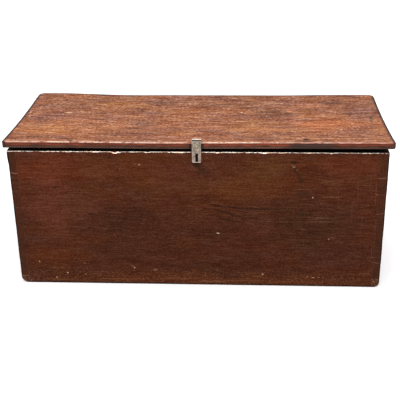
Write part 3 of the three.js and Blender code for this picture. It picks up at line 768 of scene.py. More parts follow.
def wood_case(name, axis, pith, seed, marks=None, tones=()):
    """Dark red-brown finish on old pine outside, bare aged pine inside, rubbed arrises."""
    T = Tree(name, axis)
    long = axis == "X"
    x, y, z = T.x, T.y, T.z
    late = T.late_wood(pith, (9, 6), 7.5, 0.035 if long else 0.02, seed)
    end = T.range(T.math("ABSOLUTE", T.nx if long else T.ny), 0.6, 0.9)
    # slow shifts between orange, red and grey-brown
    b1 = T.fibre(190, 60, 3, off=(seed, 1, 4))
    b2 = T.fibre(150, 50, 3, off=(4, seed, 8))
    b3 = T.fibre(110, 40, 3, off=(8, 3, seed))
    st = T.fibre(130, 4.5, 4, 0.6, (7, 2, seed))
    col = T.mix(T.range(b1, 0.36, 0.64), lin(84, 43, 26), lin(78, 43, 29))
    col = T.over(col,
                 (T.range(b2, 0.52, 0.68), 0.55, lin(92, 50, 26)), (T.range(b3, 0.50, 0.66), 0.55, lin(86, 50, 41)),
                 (T.range(b1, 0.44, 0.32), 0.40, lin(66, 38, 25)))
    # patches that lean to olive or to purple
    hue = T.range(T.noise((60, 60, 42), 2, 0.5, (seed, 6, 2)), 0.36, 0.64)
    col = T.times(col, T.mix(hue, (1.02, 0.955, 1.16, 1.0), (0.97, 1.045, 0.84, 1.0)))
    outer = T.range(T.math("ABSOLUTE", y if long else x), (HY if long else HX) - 4.5, (HY if long else HX) - 3.5)
    wx, wy, wz = T.wander(9, 9.0, seed)
    u, v = T.sum(x if long else y, wx), T.sum(z, wz)
    lx, ly, lz = T.wander(70, 70.0, seed + 3, 1)
    ub, vb = T.sum(x if long else y, lx, 1.8), T.sum(z, lz)
    col = T.mark(col, ub, vb, outer, tones, 0.1, 1.1)
    # lighter towards the top, darker low down; streaks, late wood and pores
    grain = T.mul(T.range(st, 0.52, 0.70, 1.0, 0.89), T.range(st, 0.46, 0.32, 1.0, 1.15), T.range(late, 0.0, 1.0, 1.0, 0.885))
    col = T.times(col, T.range(z, 60.0, 400.0, 0.93, 1.12))
    col = T.shade(col, T.mul(grain, T.micro([(5, 3.4, 3.3, 2), (30, 2.8, 2.6, 2), (75, 7, 0.9, 3), (130, 18, 1.0, 2)])), 0.061, FRONT_TONE)
    gs = T.noise((5, 5, 26), 3, 0.6, (seed, 4, 1))
    col = T.over(col, (end, 0.35 if long else 0.5, lin(72, 44, 33)), (T.mul(end, T.range(gs, 0.52, 0.62)), 0.35, lin(44, 28, 22)))
    # rubbed flecks, more of them low down, and dark ones
    fl = T.noise((6, 6, 3.2), 2, off=(seed, 2, 3))
    fd = T.noise((14, 14, 3.6), 3, off=(seed, 7, 3))
    sc = T.fibre(46, 1.7, 1, 0.4, (9, seed, 0))
    col = T.over(col,
                 (T.mul(T.range(fl, 0.72, 0.78), outer), 0.6, lin(140, 98, 82)), (T.mul(T.range(fl, 0.57, 0.66), T.range(z, 70.0, 16.0), outer), 0.60, lin(160, 114, 90)),
                 (T.mul(T.range(fd, 0.68, 0.78), outer), 0.45, lin(40, 22, 16)), (T.mul(T.range(sc, 0.735, 0.775), outer), 0.55, lin(134, 90, 74)))
    if marks:
        col = marks(T, col, u, v, outer)
    run = T.math("ABSOLUTE", x if long else y)
    corner = HX if long else HY
    ax, ay = T.math("ABSOLUTE", x), T.math("ABSOLUTE", y)
    arris = T.mul(T.range(T.sum(ax, wx, 0.2), HX - 4.6, HX - 2.6), T.range(ay, HY - 4.6, HY - 2.6), T.range(z, H - 2.0, H - 6.0))
    # painted dark along the bottom arris: dirt, and a painted contact shadow
    foot_dirt_and_shade = T.mul(T.range(T.sum(z, wz, 0.25), 5.0, 3.2), T.math("MAXIMUM", T.range(ax, HX - 8.0, HX - 5.0), T.range(ay, HY - 8.0, HY - 5.0)))
    col = T.over(col, (T.mul(T.range(T.sum(run, wx, 0.4), corner - 27.0, corner - 19.0), outer), 0.40, lin(62, 42, 34)), (arris, 0.8, lin(24, 17, 15)),
                 (foot_dirt_and_shade, 0.9, lin(20, 11, 8)))
    if not long:
        # worn, greyed end grain at the feet of the pins
        low = T.mul(T.range(z, 36.0, 22.0), T.range(ay, HY - 8.0, HY - 5.0))
        gn = T.noise((5, 5, 4), 3, 0.65, (seed, 3, 3))
        col = T.over(col, (T.mul(low, T.range(gn, 0.50, 0.60)), 0.75, lin(150, 118, 110)), (T.mul(low, T.range(gn, 0.46, 0.38)), 0.6, lin(44, 24, 20)))
    # the inside face is bare
    raw = T.over(raw_wood(T, late, seed), (end, 0.45, lin(104, 72, 46)))
    lim = IY if long else IX
    inside = T.mul(T.range(T.math("ABSOLUTE", y if long else x), lim + 0.9, lim + 0.2), T.range(z, H + 0.5, H - 0.8))
    col = T.mix(inside, col, raw)
    col = T.over(col, (T.range(T.nz, -0.6, -0.9), 0.85, lin(84, 62, 46)))
    if not long:
        rim2 = T.mul(T.range(T.sum(z, wz, 0.2), H - 2.6, H - 1.4), T.range(y, -HY + 2.4, -HY + 1.2), T.range(T.noise((7, 7, 7), 3, off=(1, 1, seed)), 0.40, 0.52))
    # the rim's top is painted near black: dirt from handling, and painted shade under the lid's overhang
    topm = T.range(z, H - 0.7, H - 0.3)
    rim_top_dirt_and_shade = T.mix(T.range(T.fibre(30, 7, 3, off=(2, 2, seed)), 0.4, 0.7), lin(12, 8, 7), lin(20, 13, 10))
    col = T.over(col, (topm, 0.98, rim_top_dirt_and_shade))
    # worn or dirty arrises and joint lines
    wear = T.attr("wear")
    wn = T.fibre(22, 9, 3, 0.65, (seed, 0, 8))
    below = T.mul(T.range(z, H - 0.1, H - 0.9), T.range(z, 3.0, 6.0))
    worn = T.mul(T.range(T.sum(wear, wn, 1.5), 1.37, 1.70), below)
    dirty = T.mul(T.range(T.sum(wear, wn, -1.8), -0.15, 0.10), below)
    col = T.over(col, (worn, 0.42, lin(140, 98, 84)), (dirty, 0.6, lin(36, 22, 17)))
    col = T.times(col, FRONT_TONE)
    if not long:
        col = T.over(col, (rim2, 0.90 if seed == 3.0 else 0.5, lin(226, 204, 188)))
    return {"T": T, "col": col, "late": late, "wx": wx, "wz": wz}


def finish_wood(d, rough=(0.42, 0.6), spec=0.25, bump=0.5):
    T = d["T"]
    T.put(T.bsdf.inputs["Base Color"], d["col"])
    T.put(T.bsdf.inputs["Roughness"], T.range(T.fibre(60, 25, 3, off=(2, 2, 2)), 0.3, 0.7, rough[0], rough[1], smooth=False))
    T.bsdf.inputs["Specular IOR Level"].default_value = spec
    h = T.sum(T.mul(T.fibre(70, 1.4, 4, 0.65, (0, 3, 2)), 0.6), d["late"], 0.35)
    h = T.sum(h, T.fibre(12, 4, 4), 0.8)
    if "height" in d:
        h = T.sum(h, d["height"], -1.2)
    T.put(T.bsdf.inputs["Normal"], T.bump(h, bump, 0.4))
    return T.mat


FRONT_TONES = [
    (-400, 370, 200, 60, 0, (110, 52, 30), 0.46), (-140, 372, 120, 60, 0, (96, 54, 26), 0.45), (-280, 378, 60, 40, 0, (96, 62, 34), 0.40), (195, 375, 64, 40, 0, (100, 66, 36), 0.45),
    (130, 320, 150, 50, 0, (100, 60, 26), 0.50), (-100, 320, 150, 34, 0, (96, 58, 28), 0.40),
    (-385, 240, 150, 70, 0, (94, 54, 44), 0.55), (-420, 260, 70, 150, 0, (110, 64, 56), 0.34), (-210, 228, 110, 40, 0, (62, 34, 20), 0.35), (-30, 350, 110, 60, 0, (92, 52, 44), 0.40),
    (430, 385, 110, 34, 0, (104, 50, 30), 0.42), (-430, 95, 110, 40, 0, (104, 56, 24), 0.50),
    (90, 80, 120, 50, 0, (70, 40, 22), 0.25), (340, 200, 150, 100, 0, (58, 40, 26), 0.45),
    (-200, 210, 150, 50, 0, (66, 38, 24), 0.40), (0, 190, 160, 70, 0, (70, 38, 24), 0.35),
    (420, 100, 120, 60, 0, (84, 46, 38), 0.40), (60, 22, 420, 20, 0, (104, 58, 32), 0.45),
    # painted shadow: the hasp's soft shadow on the board below it
    (4, 366, 24, 24, 0, (52, 33, 28), 0.5),
]
FRONT_DARK = [
    # painted shadow: black behind the hasp's slot, and the hasp's shadow under its end, with small gouges below
    (2.4, 405.5, 7.0, 17, 0, (7, 5, 4), 0.97), (3, 384, 17, 10, 0, (44, 26, 20), 0.5), (3, 391.2, 15, 2.0, 0, (12, 7, 6), 0.95), (3, 384.6, 12, 1.5, 0, (26, 15, 12), 0.8), (-1, 379.6, 6, 1.3, 20, (30, 17, 13), 0.6), (7, 380, 6, 1.3, -20, (30, 17, 13), 0.6),
    # the wandering dark line and the arched grain under it
    (60, 261, 36, 2.2, -9, (34, 17, 11), 0.95), (110, 255, 40, 2.2, -6, (34, 17, 11), 0.95), (170, 251.5, 46, 2.2, -1, (34, 17, 11), 0.95),
    (225, 252, 38, 2.0, 2, (36, 18, 12), 0.85), (330, 256, 90, 1.4, 3, (48, 26, 18), 0.5),
    (70, 243, 40, 1.8, -16, (40, 21, 14), 0.7), (105, 232, 44, 1.8, -14, (40, 21, 14), 0.7), (60, 226, 40, 1.8, -18, (42, 22, 15), 0.65),
    (130, 243, 40, 1.7, -8, (42, 22, 15), 0.65), (90, 214, 60, 1.7, -8, (42, 22, 15), 0.6), (20, 250, 16, 1.7, 50, (44, 23, 16), 0.6),
    (10, 232, 14, 1.6, -50, (44, 23, 16), 0.6), (160, 222, 50, 1.6, -6, (44, 23, 16), 0.55), (-10, 240, 10, 1.6, 70, (46, 24, 17), 0.55), (-30, 236, 22, 1.6, 40, (46, 24, 17), 0.5), (-34, 222, 22, 1.6, -40, (46, 24, 17), 0.5),
    # knots
    (-407, 315, 11, 4, 10, (42, 23, 17), 0.75), (-309, 231, 17, 3.4, -4, (36, 19, 13), 0.85), (-300, 224, 26, 2.2, 3, (46, 25, 18), 0.5),
    (272, 395, 11, 4.5, 0, (30, 22, 18), 0.9), (277, 372, 7, 12, 18, (40, 27, 19), 0.6), (288, 352, 10, 18, 30, (46, 33, 22), 0.5),
    (296, 338, 8, 9, 20, (50, 34, 24), 0.55), (-223, 371, 3.0, 9, 0, (48, 26, 16), 0.75), (-222, 386, 10, 3, 0, (52, 28, 18), 0.5),
    (420, 236, 26, 3.0, 0, (50, 28, 19), 0.5), (300, 300, 26, 12, 0, (56, 38, 26), 0.45), (300, 238, 20, 10, 0, (54, 42, 28), 0.5),
]
FRONT_LIGHT = [
    (59, 173, 4.1, 2.1, -8, (228, 214, 196), 0.87), (329, 289, 3.9, 2.4, 10, (206, 176, 148), 0.85),
    (191, 40, 3.6, 2.2, 25, (216, 190, 164), 0.85), (-161, 385, 3.9, 1.9, -10, (206, 168, 138), 0.81),
    (-173, 389, 6.2, 1.3, -4, (176, 120, 90), 0.63), (-392, 35, 3.4, 2.1, 0, (216, 176, 138), 0.85),
    (-338, 31, 3.4, 2.2, 0, (190, 158, 132), 0.77), (-427, 18, 2.8, 4.0, 20, (206, 158, 116), 0.77),
    (-476, 72, 2.8, 3.7, -20, (196, 140, 98), 0.77), (-338, 68, 2.8, 1.8, 0, (186, 138, 106), 0.72),
    (-189, 55, 2.5, 3.0, 30, (206, 160, 120), 0.81), (-196, 60, 6.2, 1.3, -20, (180, 132, 98), 0.63),
    (-127, 48, 7.0, 3.5, 0, (142, 112, 88), 0.63), (-514, 16, 3.9, 5.6, 30, (176, 148, 122), 0.72), (-506, 8, 3.9, 3.2, 0, (166, 128, 100), 0.63),
    (-40, 20, 2.3, 4.0, 0, (150, 116, 92), 0.54), (274, 382, 4.7, 2.4, 10, (176, 146, 122), 0.81), (268, 386, 5.5, 1.3, 30, (150, 116, 94), 0.63),
    (281, 372, 2.3, 1.8, 0, (150, 120, 98), 0.63), (-219, 372, 1.8, 6.4, 0, (134, 92, 56), 0.68),
    (366, 341, 36.0, 1.2, -10, (146, 98, 70), 0.50), (390, 332, 42.0, 1.0, -8, (138, 92, 66), 0.36), (380, 291.5, 40.0, 1.3, 1, (158, 112, 86), 0.64),
    (350, 225, 42.0, 1.2, -2, (146, 102, 78), 0.46), (350, 213, 40.0, 1.2, 1, (150, 106, 80), 0.46), (330, 219, 20.0, 1.0, 4, (136, 94, 70), 0.37),
    (-423, 52.5, 34.0, 1.1, 0, (140, 104, 66), 0.50), (-340, 298, 42.0, 1.0, 0, (136, 92, 72), 0.43), (-466, 250, 56.0, 1.2, 0, (128, 84, 66), 0.50),
    (380, 158, 3.9, 4.0, 0, (160, 120, 96), 0.72), (390, 162, 9.4, 1.3, 0, (146, 108, 84), 0.63), (324, 32, 3.9, 1.4, 0, (190, 146, 112), 0.81),
    (340, 29, 3.6, 2.1, 0, (206, 156, 118), 0.85), (357, 31, 3.1, 1.8, 0, (176, 130, 98), 0.81), (492, 46, 16.0, 1.1, 0, (142, 100, 78), 0.46),
    (30, 408, 2.5, 1.8, 0, (150, 104, 82), 0.63), (40, 376, 7.0, 2.4, 0, (112, 70, 56), 0.45), (-244, 165, 5.5, 5.6, 0, (112, 64, 46), 0.45),
    (-60, 20, 70.0, 3.0, 0, (124, 76, 46), 0.55), (-230, 16, 90.0, 3.0, 0, (130, 80, 48), 0.60), (140, 16, 90.0, 3.0, 0, (124, 78, 48), 0.55),
    (300, 14, 90.0, 2.6, 0, (120, 74, 48), 0.50), (-420, 12, 60.0, 3.0, 0, (128, 80, 48), 0.50), (40, 12, 50.0, 4.0, 0, (130, 92, 60), 0.60),
]
FRONT_SEAMS = [(518, 405, 3.4, 2.8, 0, (22, 14, 12), 0.95), (505, 300, 1.6, 50, 0, (118, 72, 56), 0.55), (512, 190, 1.6, 40, 0, (122, 78, 62), 0.55),
               (505, 120, 1.5, 30, 0, (116, 74, 60), 0.45), (-508.5, 330, 1.5, 34, 0, (112, 70, 54), 0.35), (-506, 386, 1.4, 26, 0, (100, 60, 46), 0.3),
               (497, 372, 1.4, 30, 0, (114, 72, 58), 0.55), (488, 330, 1.4, 40, 0, (114, 74, 60), 0.55), (455, 310, 1.4, 60, 0, (108, 70, 56), 0.55),
               (400, 300, 1.4, 50, 0, (108, 70, 54), 0.50), (441, 250, 1.4, 44, 0, (108, 72, 58), 0.50), (470, 200, 1.4, 40, 0, (106, 70, 56), 0.45), (509, 330, 1.4, 30, 0, (30, 18, 15), 0.5)]
FRONT_JOINTS = [(-522, 357.2, 14, 1.5, -8, (196, 150, 124), 0.9), (-524, 301.6, 13, 1.3, 8, (150, 106, 84), 0.7), (-519, 248.4, 18, 1.2, -2, (148, 104, 84), 0.6),
                (-524, 194.6, 12, 1.1, 8, (112, 74, 58), 0.5), (-524, 138.4, 12, 1.1, -8, (104, 68, 54), 0.4),
                (522, 350.3, 14, 1.5, 8, (178, 130, 108), 0.85), (518, 298.9, 17, 1.4, -6, (168, 122, 102), 0.8), (521, 240.2, 15, 1.4, 8, (160, 116, 96), 0.75),
                (523, 188.2, 12, 1.1, -8, (116, 76, 62), 0.5), (523, 131.8, 12, 1.1, 8, (106, 70, 58), 0.4), (521, 81.4, 15, 1.4, -6, (172, 126, 104), 0.8)]


def front_marks(T, col, u, v, outer):
    col = T.mark(col, u, v, outer, FRONT_DARK, 0.35)
    col = T.mark(col, u, v, outer, FRONT_LIGHT, 0.5, gain=PALE)
    col = T.mark(col, u, v, outer, FRONT_SEAMS, 0.4, gain=PALE)
    return T.mark(col, T.x, T.sum(T.z, T.math("SUBTRACT", v, T.z), 0.25), outer, FRONT_JOINTS, 0.4, gain=PALE)


RIM_BRIGHT = [(-512, 27, 0.8), (-412, 14, 0.9), (-360, 42, 0.8), (-291, 28, 1.0), (-232, 18, 1.0), (-137, 12, 1.0), (-73, 54, 0.95), (142, 126, 0.95), (326, 22, 0.85), (372, 30, 0.6)]
RIM_GLOW = [(-281, 13, 0.9), (-226, 11, 0.9), (-47, 16, 1.0), (188, 14, 0.9), (320, 13, 0.8), (62, 12, 0.5), (-366, 16, 0.5)]


def front_board_material():
    d = wood_case("case_front_wood", "X", (-150.0, 236.0), 2.0, front_marks, FRONT_TONES)
    T, col = d["T"], d["col"]
    x, y, z = T.x, T.y, T.z
    # the rim: the finish is gone along the arris, in a strip that comes and goes; the strip also carries a painted
    # highlight
    xx = T.sum(x, d["wx"])
    depth = T.range(T.noise1(x, 46.0, 4, 0.6, 5.5), 0.32, 0.68, 1.1, 2.3)
    for cx, hw, dep in RIM_CHIPS:
        depth = T.sum(depth, T.range(T.away(xx, cx), float(hw), hw * 0.3, 0.0, dep * 0.8))
    for cx, hw, k in RIM_GLOW:
        depth = T.sum(depth, T.range(T.away(xx, cx), hw * 1.2, hw * 0.6, 0.0, k * 1.1))
    zz = T.math("SUBTRACT", float(H), T.sum(z, d["wz"], 0.25))
    rim = T.mul(T.range(T.math("SUBTRACT", depth, zz), -0.4, 0.6), T.range(y, -HY + 2.2, -HY + 1.2))
    rawc = T.mix(T.range(T.noise((16, 5, 5), 3, off=(2, 7, 7)), 0.35, 0.68), lin(255, 250, 240), lin(226, 190, 160))
    cover = T.range(T.noise1(x, 34.0, 3, 0.6, 9.2), 0.36, 0.60, 0.30, 0.70)
    for cx, hw, k in RIM_BRIGHT:
        cover = T.math("MAXIMUM", cover, T.range(T.away(xx, cx), hw * 1.15, hw * 0.85, 0.0, k))
    cover = T.mul(cover, T.range(T.noise1(x, 11.0, 3, 0.6, 2.2), 0.36, 0.56, 0.45, 1.0))
    for cx, hw, k in RIM_GLOW:
        cover = T.math("MAXIMUM", cover, T.range(T.away(xx, cx), hw * 1.2, hw * 0.7, 0.0, k))
    # the bare strip is brightened past its own colour here: a painted highlight on the worn arris
    d["col"] = T.times(T.over(col, (rim, cover, rawc)), T.mix(rim, (1, 1, 1, 1), (1.45, 1.42, 1.38, 1)))
    d["height"] = rim
    return finish_wood(d, rough=(0.48, 0.64), spec=0.06)


def plain_case_material(name, axis, pith, seed):
    def marks(T, col, u, v, outer):
        n = T.noise((60, 60, 40), 4, 0.62, (seed, 2, 6))
        w = T.noise((20, 20, 12), 4, 0.66, (seed, 5, 6))
        return T.over(col, (T.mul(T.range(n, 0.56, 0.70), outer), 0.55, lin(60, 36, 26)), (T.mul(T.range(n, 0.42, 0.30), outer), 0.45, lin(104, 58, 36)),
                      (T.mul(T.range(w, 0.70, 0.76), outer), 0.7, lin(142, 102, 86)))
    return finish_wood(wood_case(name, axis, pith, seed, marks), rough=(0.48, 0.64), spec=0.06)


LID_TONES = [
    (-170, -50, 50, 34, -12, (128, 92, 84), 0.35), (-452, 6, 46, 24, 0, (136, 86, 78), 0.55),
    (215, 60, 78, 46, 0, (118, 78, 62), 0.55), (278, 44, 44, 24, 0, (122, 94, 86), 0.55),
    (-440, -120, 110, 46, 4, (206, 136, 82), 0.50), (370, -70, 110, 62, -4, (208, 124, 80), 0.55),
    (150, -60, 60, 50, 0, (188, 130, 76), 0.40), (-420, 130, 60, 60, 0, (150, 94, 64), 0.45), (-250, 130, 90, 50, 0, (190, 128, 78), 0.40),
    (-140, 160, 60, 30, 0, (140, 96, 86), 0.50), (90, 30, 90, 24, 0, (134, 84, 74), 0.45), (480, 50, 74, 90, 0, (142, 90, 76), 0.72), (30, 135, 230, 42, 0, (142, 93, 66), 0.48), (145, -198, 150, 22, 0, (134, 90, 76), 0.55), (335, -227, 60, 9, 0, (96, 64, 50), 0.60), (200, -110, 110, 24, 0, (206, 138, 94), 0.35), (330, 130, 64, 38, 0, (206, 134, 96), 0.40), (-290, -110, 66, 60, 0, (210, 142, 98), 0.40),
    (-430, -200, 90, 16, 0, (132, 80, 62), 0.50), (300, 190, 200, 26, 0, (150, 98, 78), 0.25), (460, -130, 80, 60, 0, (142, 92, 80), 0.55),
    (-60, -190, 120, 24, 0, (170, 112, 100), 0.40), (240, -150, 120, 30, 0, (156, 106, 86), 0.40), (-20, 100, 150, 26, 0, (176, 108, 78), 0.35),
]
LID_DARK = [
    (-190, -106, 26, 5, 0, (72, 50, 44), 0.65), (-215, -100, 24, 4, 6, (120, 84, 66), 0.55), (-328, 219, 24, 8, 0, (70, 66, 58), 0.90),
    (-242, 212, 22, 7, 0, (110, 104, 80), 0.70), (-142, 147, 22, 7, 4, (84, 60, 44), 0.75), (511, 7, 6, 20, 0, (84, 56, 46), 0.85), (508, -20, 8, 24, 0, (118, 88, 82), 0.6),
    (305, -212, 13, 9, 0, (46, 34, 30), 0.95), (300, -226, 42, 8, 0, (92, 60, 50), 0.70), (-375, -212, 22, 6, 0, (84, 46, 38), 0.80), (-420, -206, 16, 5, 0, (92, 54, 44), 0.6),
    (441, 46, 18, 12, 0, (104, 78, 68), 0.7), (200, 60, 50, 5, -4, (92, 60, 46), 0.6), (240, 30, 44, 5, -8, (88, 56, 46), 0.6), (190, 10, 60, 5, 4, (100, 62, 50), 0.55),
    (60, 130, 60, 5, 2, (104, 64, 48), 0.6), (-240, 60, 50, 5, -3, (100, 62, 50), 0.35), (-60, 10, 60, 5, 4, (104, 66, 50), 0.4),
    (350, 10, 60, 5, 5, (108, 68, 52), 0.55), (150, 212, 120, 6, 0, (104, 72, 58), 0.6), (-120, -140, 60, 5, 3, (112, 66, 50), 0.5), (100, -80, 50, 5, -4, (112, 66, 50), 0.5),
    (-351, -229, 12, 11, 0, (84, 66, 58), 0.75), (-268, -232, 7, 8, 0, (74, 48, 40), 0.7), (-118, -234, 4, 9, 0, (50, 34, 28), 0.8),
    (-350, 80, 50, 5, 2, (110, 66, 50), 0.5), (420, -190, 60, 6, 2, (120, 70, 54), 0.5), (-430, 30, 30, 5, 0, (104, 66, 60), 0.5), (-300, 160, 40, 5, -3, (106, 66, 50), 0.5),
]
LID_LIGHT = [
    (-410, 39, 16, 7, 2, (246, 206, 176), 0.90), (-380, 36, 30, 4, 2, (190, 170, 160), 0.5), (-279, -88, 6, 6, 0, (236, 184, 150), 0.7), (-271, -76, 5, 6, 0, (244, 200, 168), 0.8), (-262, -64, 6, 6, 0, (236, 184, 150), 0.65),
    (125, 57, 4, 6, 0, (250, 222, 200), 0.95), (273, 68, 12, 7, 4, (240, 160, 116), 0.80), (411, -111, 6, 7, 0, (246, 196, 160), 0.90),
    (449, -52, 5, 6, 0, (244, 194, 156), 0.85), (387, -62, 9, 7, 0, (238, 170, 122), 0.75), (87, 120, 12, 5, 0, (226, 160, 124), 0.6),
    (101, -128, 18, 5, 10, (222, 176, 140), 0.7), (121, -160, 20, 5, -8, (222, 176, 140), 0.7), (110, -143, 20, 4, 0, (226, 180, 146), 0.6),
    (340, -60, 60, 6, 2, (234, 150, 102), 0.6), (360, -90, 50, 6, -3, (238, 156, 106), 0.6), (330, -120, 60, 6, 2, (234, 156, 104), 0.55), (390, -30, 40, 6, 2, (230, 140, 100), 0.55),
    (-500, -90, 30, 7, 5, (222, 156, 98), 0.6), (-430, -110, 40, 6, 0, (222, 158, 100), 0.6), (-400, -140, 50, 6, 2, (220, 156, 98), 0.55), (-470, -150, 40, 6, 0, (220, 150, 100), 0.5),
    (-342, -226, 4, 9, 0, (226, 190, 170), 0.7), (-103, -225, 7, 8, 0, (228, 186, 164), 0.7), (-529, 40, 5, 12, 0, (236, 180, 160), 0.8), (-524, 4, 5, 14, 0, (226, 172, 156), 0.7), (-100, 60, 40, 5, 0, (222, 160, 120), 0.5), (10, 60, 46, 5, 2, (226, 160, 122), 0.55),
    (-180, 130, 30, 5, -14, (222, 170, 132), 0.6), (-200, 112, 26, 5, -24, (216, 164, 126), 0.5), (0, 170, 60, 5, 0, (210, 150, 112), 0.5), (60, 150, 30, 5, 4, (228, 166, 128), 0.55),
]
LID_GLOW = [(-385, 40, 1.0), (-290, 34, 1.0), (-215, 30, 0.9), (-140, 40, 0.75), (-60, 34, 0.6), (45, 40, 1.0), (100, 26, 0.8), (150, 26, 1.0), (-470, 36, 0.60), (-515, 22, 0.50), (350, 26, 0.3), (260, 20, 0.4)]


def lid_material():
    T = Tree("lid_wood")
    x, y, z = T.x, T.y, T.z
    late = T.late_wood((-40.0, 600.0), (16, 12), 6.4, 0.02, 6.0)
    wx, wy, wz = T.wander(9, 10.0, 6.0)
    u, v = T.sum(x, wx), T.sum(y, wy)
    lx, ly, lz = T.wander(70, 80.0, 9.0, 1)
    ub, vb = T.sum(x, lx, 1.8), T.sum(y, ly)
    deep = T.attr("deep")
    b1 = T.fibre(200, 60, 2, off=(2, 1, 4))
    b2 = T.fibre(110, 34, 2, 0.6, (3, 6, 1))
    b3 = T.fibre(90, 30, 2, 0.6, (8, 6, 5))
    st = T.fibre(90, 10, 4, 0.65, (7, 2, 3))
    st2 = T.fibre(34, 8, 4, 0.65, (1, 2, 9))
    d1 = T.fibre(24, 7, 3, 0.6, (4, 9, 9))
    d2 = T.fibre(18, 7, 3, 0.6, (14, 2, 9))
    col = T.mix(T.range(b1, 0.34, 0.66), lin(186, 120, 82), lin(166, 106, 80))
    col = T.over(col,
                 (T.range(b2, 0.50, 0.68), 0.60, lin(134, 88, 78)), (T.range(b3, 0.52, 0.68), 0.55, lin(198, 134, 84)))
    grain = T.mul(T.range(st, 0.50, 0.66, 1.0, 0.92), T.range(st, 0.47, 0.34, 1.0, 1.07), T.range(st2, 0.53, 0.64, 1.0, 0.87), T.range(st2, 0.46, 0.36, 1.0, 1.11),
                  T.range(late, 0.0, 1.0, 1.0, 0.84), T.range(d1, 0.60, 0.72, 1.0, 0.80), T.range(d2, 0.61, 0.72, 1.0, 1.26))
    col = T.times(col, T.range(y, -60.0, 190.0, 1.05, 0.85))
    up = T.range(T.nz, 0.2, 0.6)
    col = T.mark(col, ub, vb, up, LID_TONES, 0.1, 1.15)
    col = T.times(col, T.mix(T.range(T.noise((46, 60, 60), 2, 0.5, (3, 8, 2)), 0.36, 0.64), (1.0, 0.965, 1.08, 1.0), (0.99, 1.025, 0.90, 1.0)))
    col = T.shade(col, T.mul(grain, T.micro([(7, 6.0, 4.7, 3), (60, 5.0, 4.3, 2), (60, 2.0, 0.8, 3)])), 0.18, LID_TONE)
    col = T.mark(col, u, v, up, LID_DARK, 0.35)
    col = T.mark(col, u, v, up, LID_LIGHT, 0.4)
    # a rubbed line just behind the front edge, and stipple
    rl = T.noise1(x, 24.0, 4, 0.65, 1.7)
    band = T.range(T.away(T.sum(y, wy, 0.5), -201.0), 6.0, 2.0)
    fl = T.noise((7, 7, 7), 2, off=(4, 2, 3))
    fd = T.noise((8, 7, 8), 2, off=(9, 2, 3))
    # the front roll of the lid, worn bare and nicked, with a painted highlight along it
    fn = T.noise((28, 6, 6), 4, 0.65, (0.3, 5, 0))
    fm = T.noise((12, 5, 5), 3, 0.65, (7.3, 1, 0))
    front = T.mul(T.range(T.sum(y, wy, 0.6), LID_F + 11, LID_F + 5), T.range(deep, 3.9, 2.9))
    col = T.over(col,
                 (T.mul(band, T.range(rl, 0.45, 0.62), T.range(x, 180.0, 235.0)), 0.85, lin(244, 186, 150)), (T.mul(band, T.range(rl, 0.58, 0.68)), 0.6, lin(222, 160, 124)),
                 (T.mul(T.range(fl, 0.68, 0.75), up), 0.6, lin(240, 190, 152)), (T.mul(T.range(fd, 0.68, 0.75), up), 0.6, lin(70, 42, 34)),
                 (front, 0.50, lin(210, 154, 146)), (T.mul(front, T.range(fn, 0.50, 0.64)), 0.6, lin(248, 208, 204)), (T.mul(front, T.range(fm, 0.54, 0.64)), 0.75, lin(112, 66, 52)))
    # painted highlights on the front arris, where it catches the light
    glow = T.mul(T.range(y, LID_F + 7, LID_F + 4), T.range(deep, 3.4, 2.4), T.range(fm, 0.62, 0.50))
    for cx, hw, k in LID_GLOW:
        col = T.over(col, (T.mul(glow, T.range(T.away(u, cx), hw * 1.2, hw * 0.6)), k, lin(252, 222, 212)))
    # the edges: red-brown above; dark below, from dirt and painted shade where the edge turns under
    side = T.mul(T.range(T.nz, 0.85, 0.65), T.range(deep, 2.9, 3.7))
    en = T.fibre(60, 8, 4, 0.62, (8, 1, 1))
    em = T.fibre(24, 4, 4, 0.65, (3, 1, 1))
    upper = T.mix(T.range(en, 0.40, 0.62), lin(132, 70, 50), lin(104, 56, 42))
    upper = T.over(upper, (T.range(em, 0.55, 0.66), 0.7, lin(70, 34, 26)), (T.range(em, 0.44, 0.34), 0.5, lin(168, 100, 76)))
    upper = T.times(upper, (1.0, 0.78, 0.62, 1.0))
    lower = T.mix(T.range(en, 0.42, 0.62), lin(82, 56, 50), lin(52, 38, 34))
    lower = T.over(lower, (T.range(em, 0.44, 0.32), 0.6, lin(112, 84, 78)))
    lower = T.times(lower, (0.9, 0.78, 0.70, 1.0))
    dd = T.sum(T.math("SUBTRACT", deep, 4.0), en, 8.0)
    edge = T.mix(T.range(dd, 8.5, 12.5), upper, lower)
    edge = T.over(edge, (T.mul(T.range(deep, 14.2, 15.6), T.range(deep, 19.2, 18.2), T.range(en, 0.42, 0.56)), 0.35, lin(140, 104, 90)))
    edge = T.times(edge, T.range(T.away(u, 125.0), 150.0, 100.0, 1.0, 1.40))
    edge = T.over(edge, (T.mul(T.range(dd, 3.0, 4.2), T.range(dd, 6.4, 5.4)), 0.7, lin(66, 32, 24)),
                  (T.mul(T.range(T.away(u, 318.0), 78.0, 44.0), T.range(y, LID_F + 12, LID_F + 8)), 0.8, lin(56, 44, 42)))
    # painted shadow beside the hasp, on the lid's front edge and top
    near_hasp = T.away(x, 2.0)
    painted_hasp_shadow = T.mul(T.range(near_hasp, 23.0, 17.5), T.range(near_hasp, 12.0, 13.0), T.range(y, LID_F + 9, LID_F + 6))
    edge = T.over(edge, (painted_hasp_shadow, 0.85, lin(26, 15, 13)))
    col = T.over(T.mix(side, col, edge), (painted_hasp_shadow, 0.5, lin(60, 34, 28)))
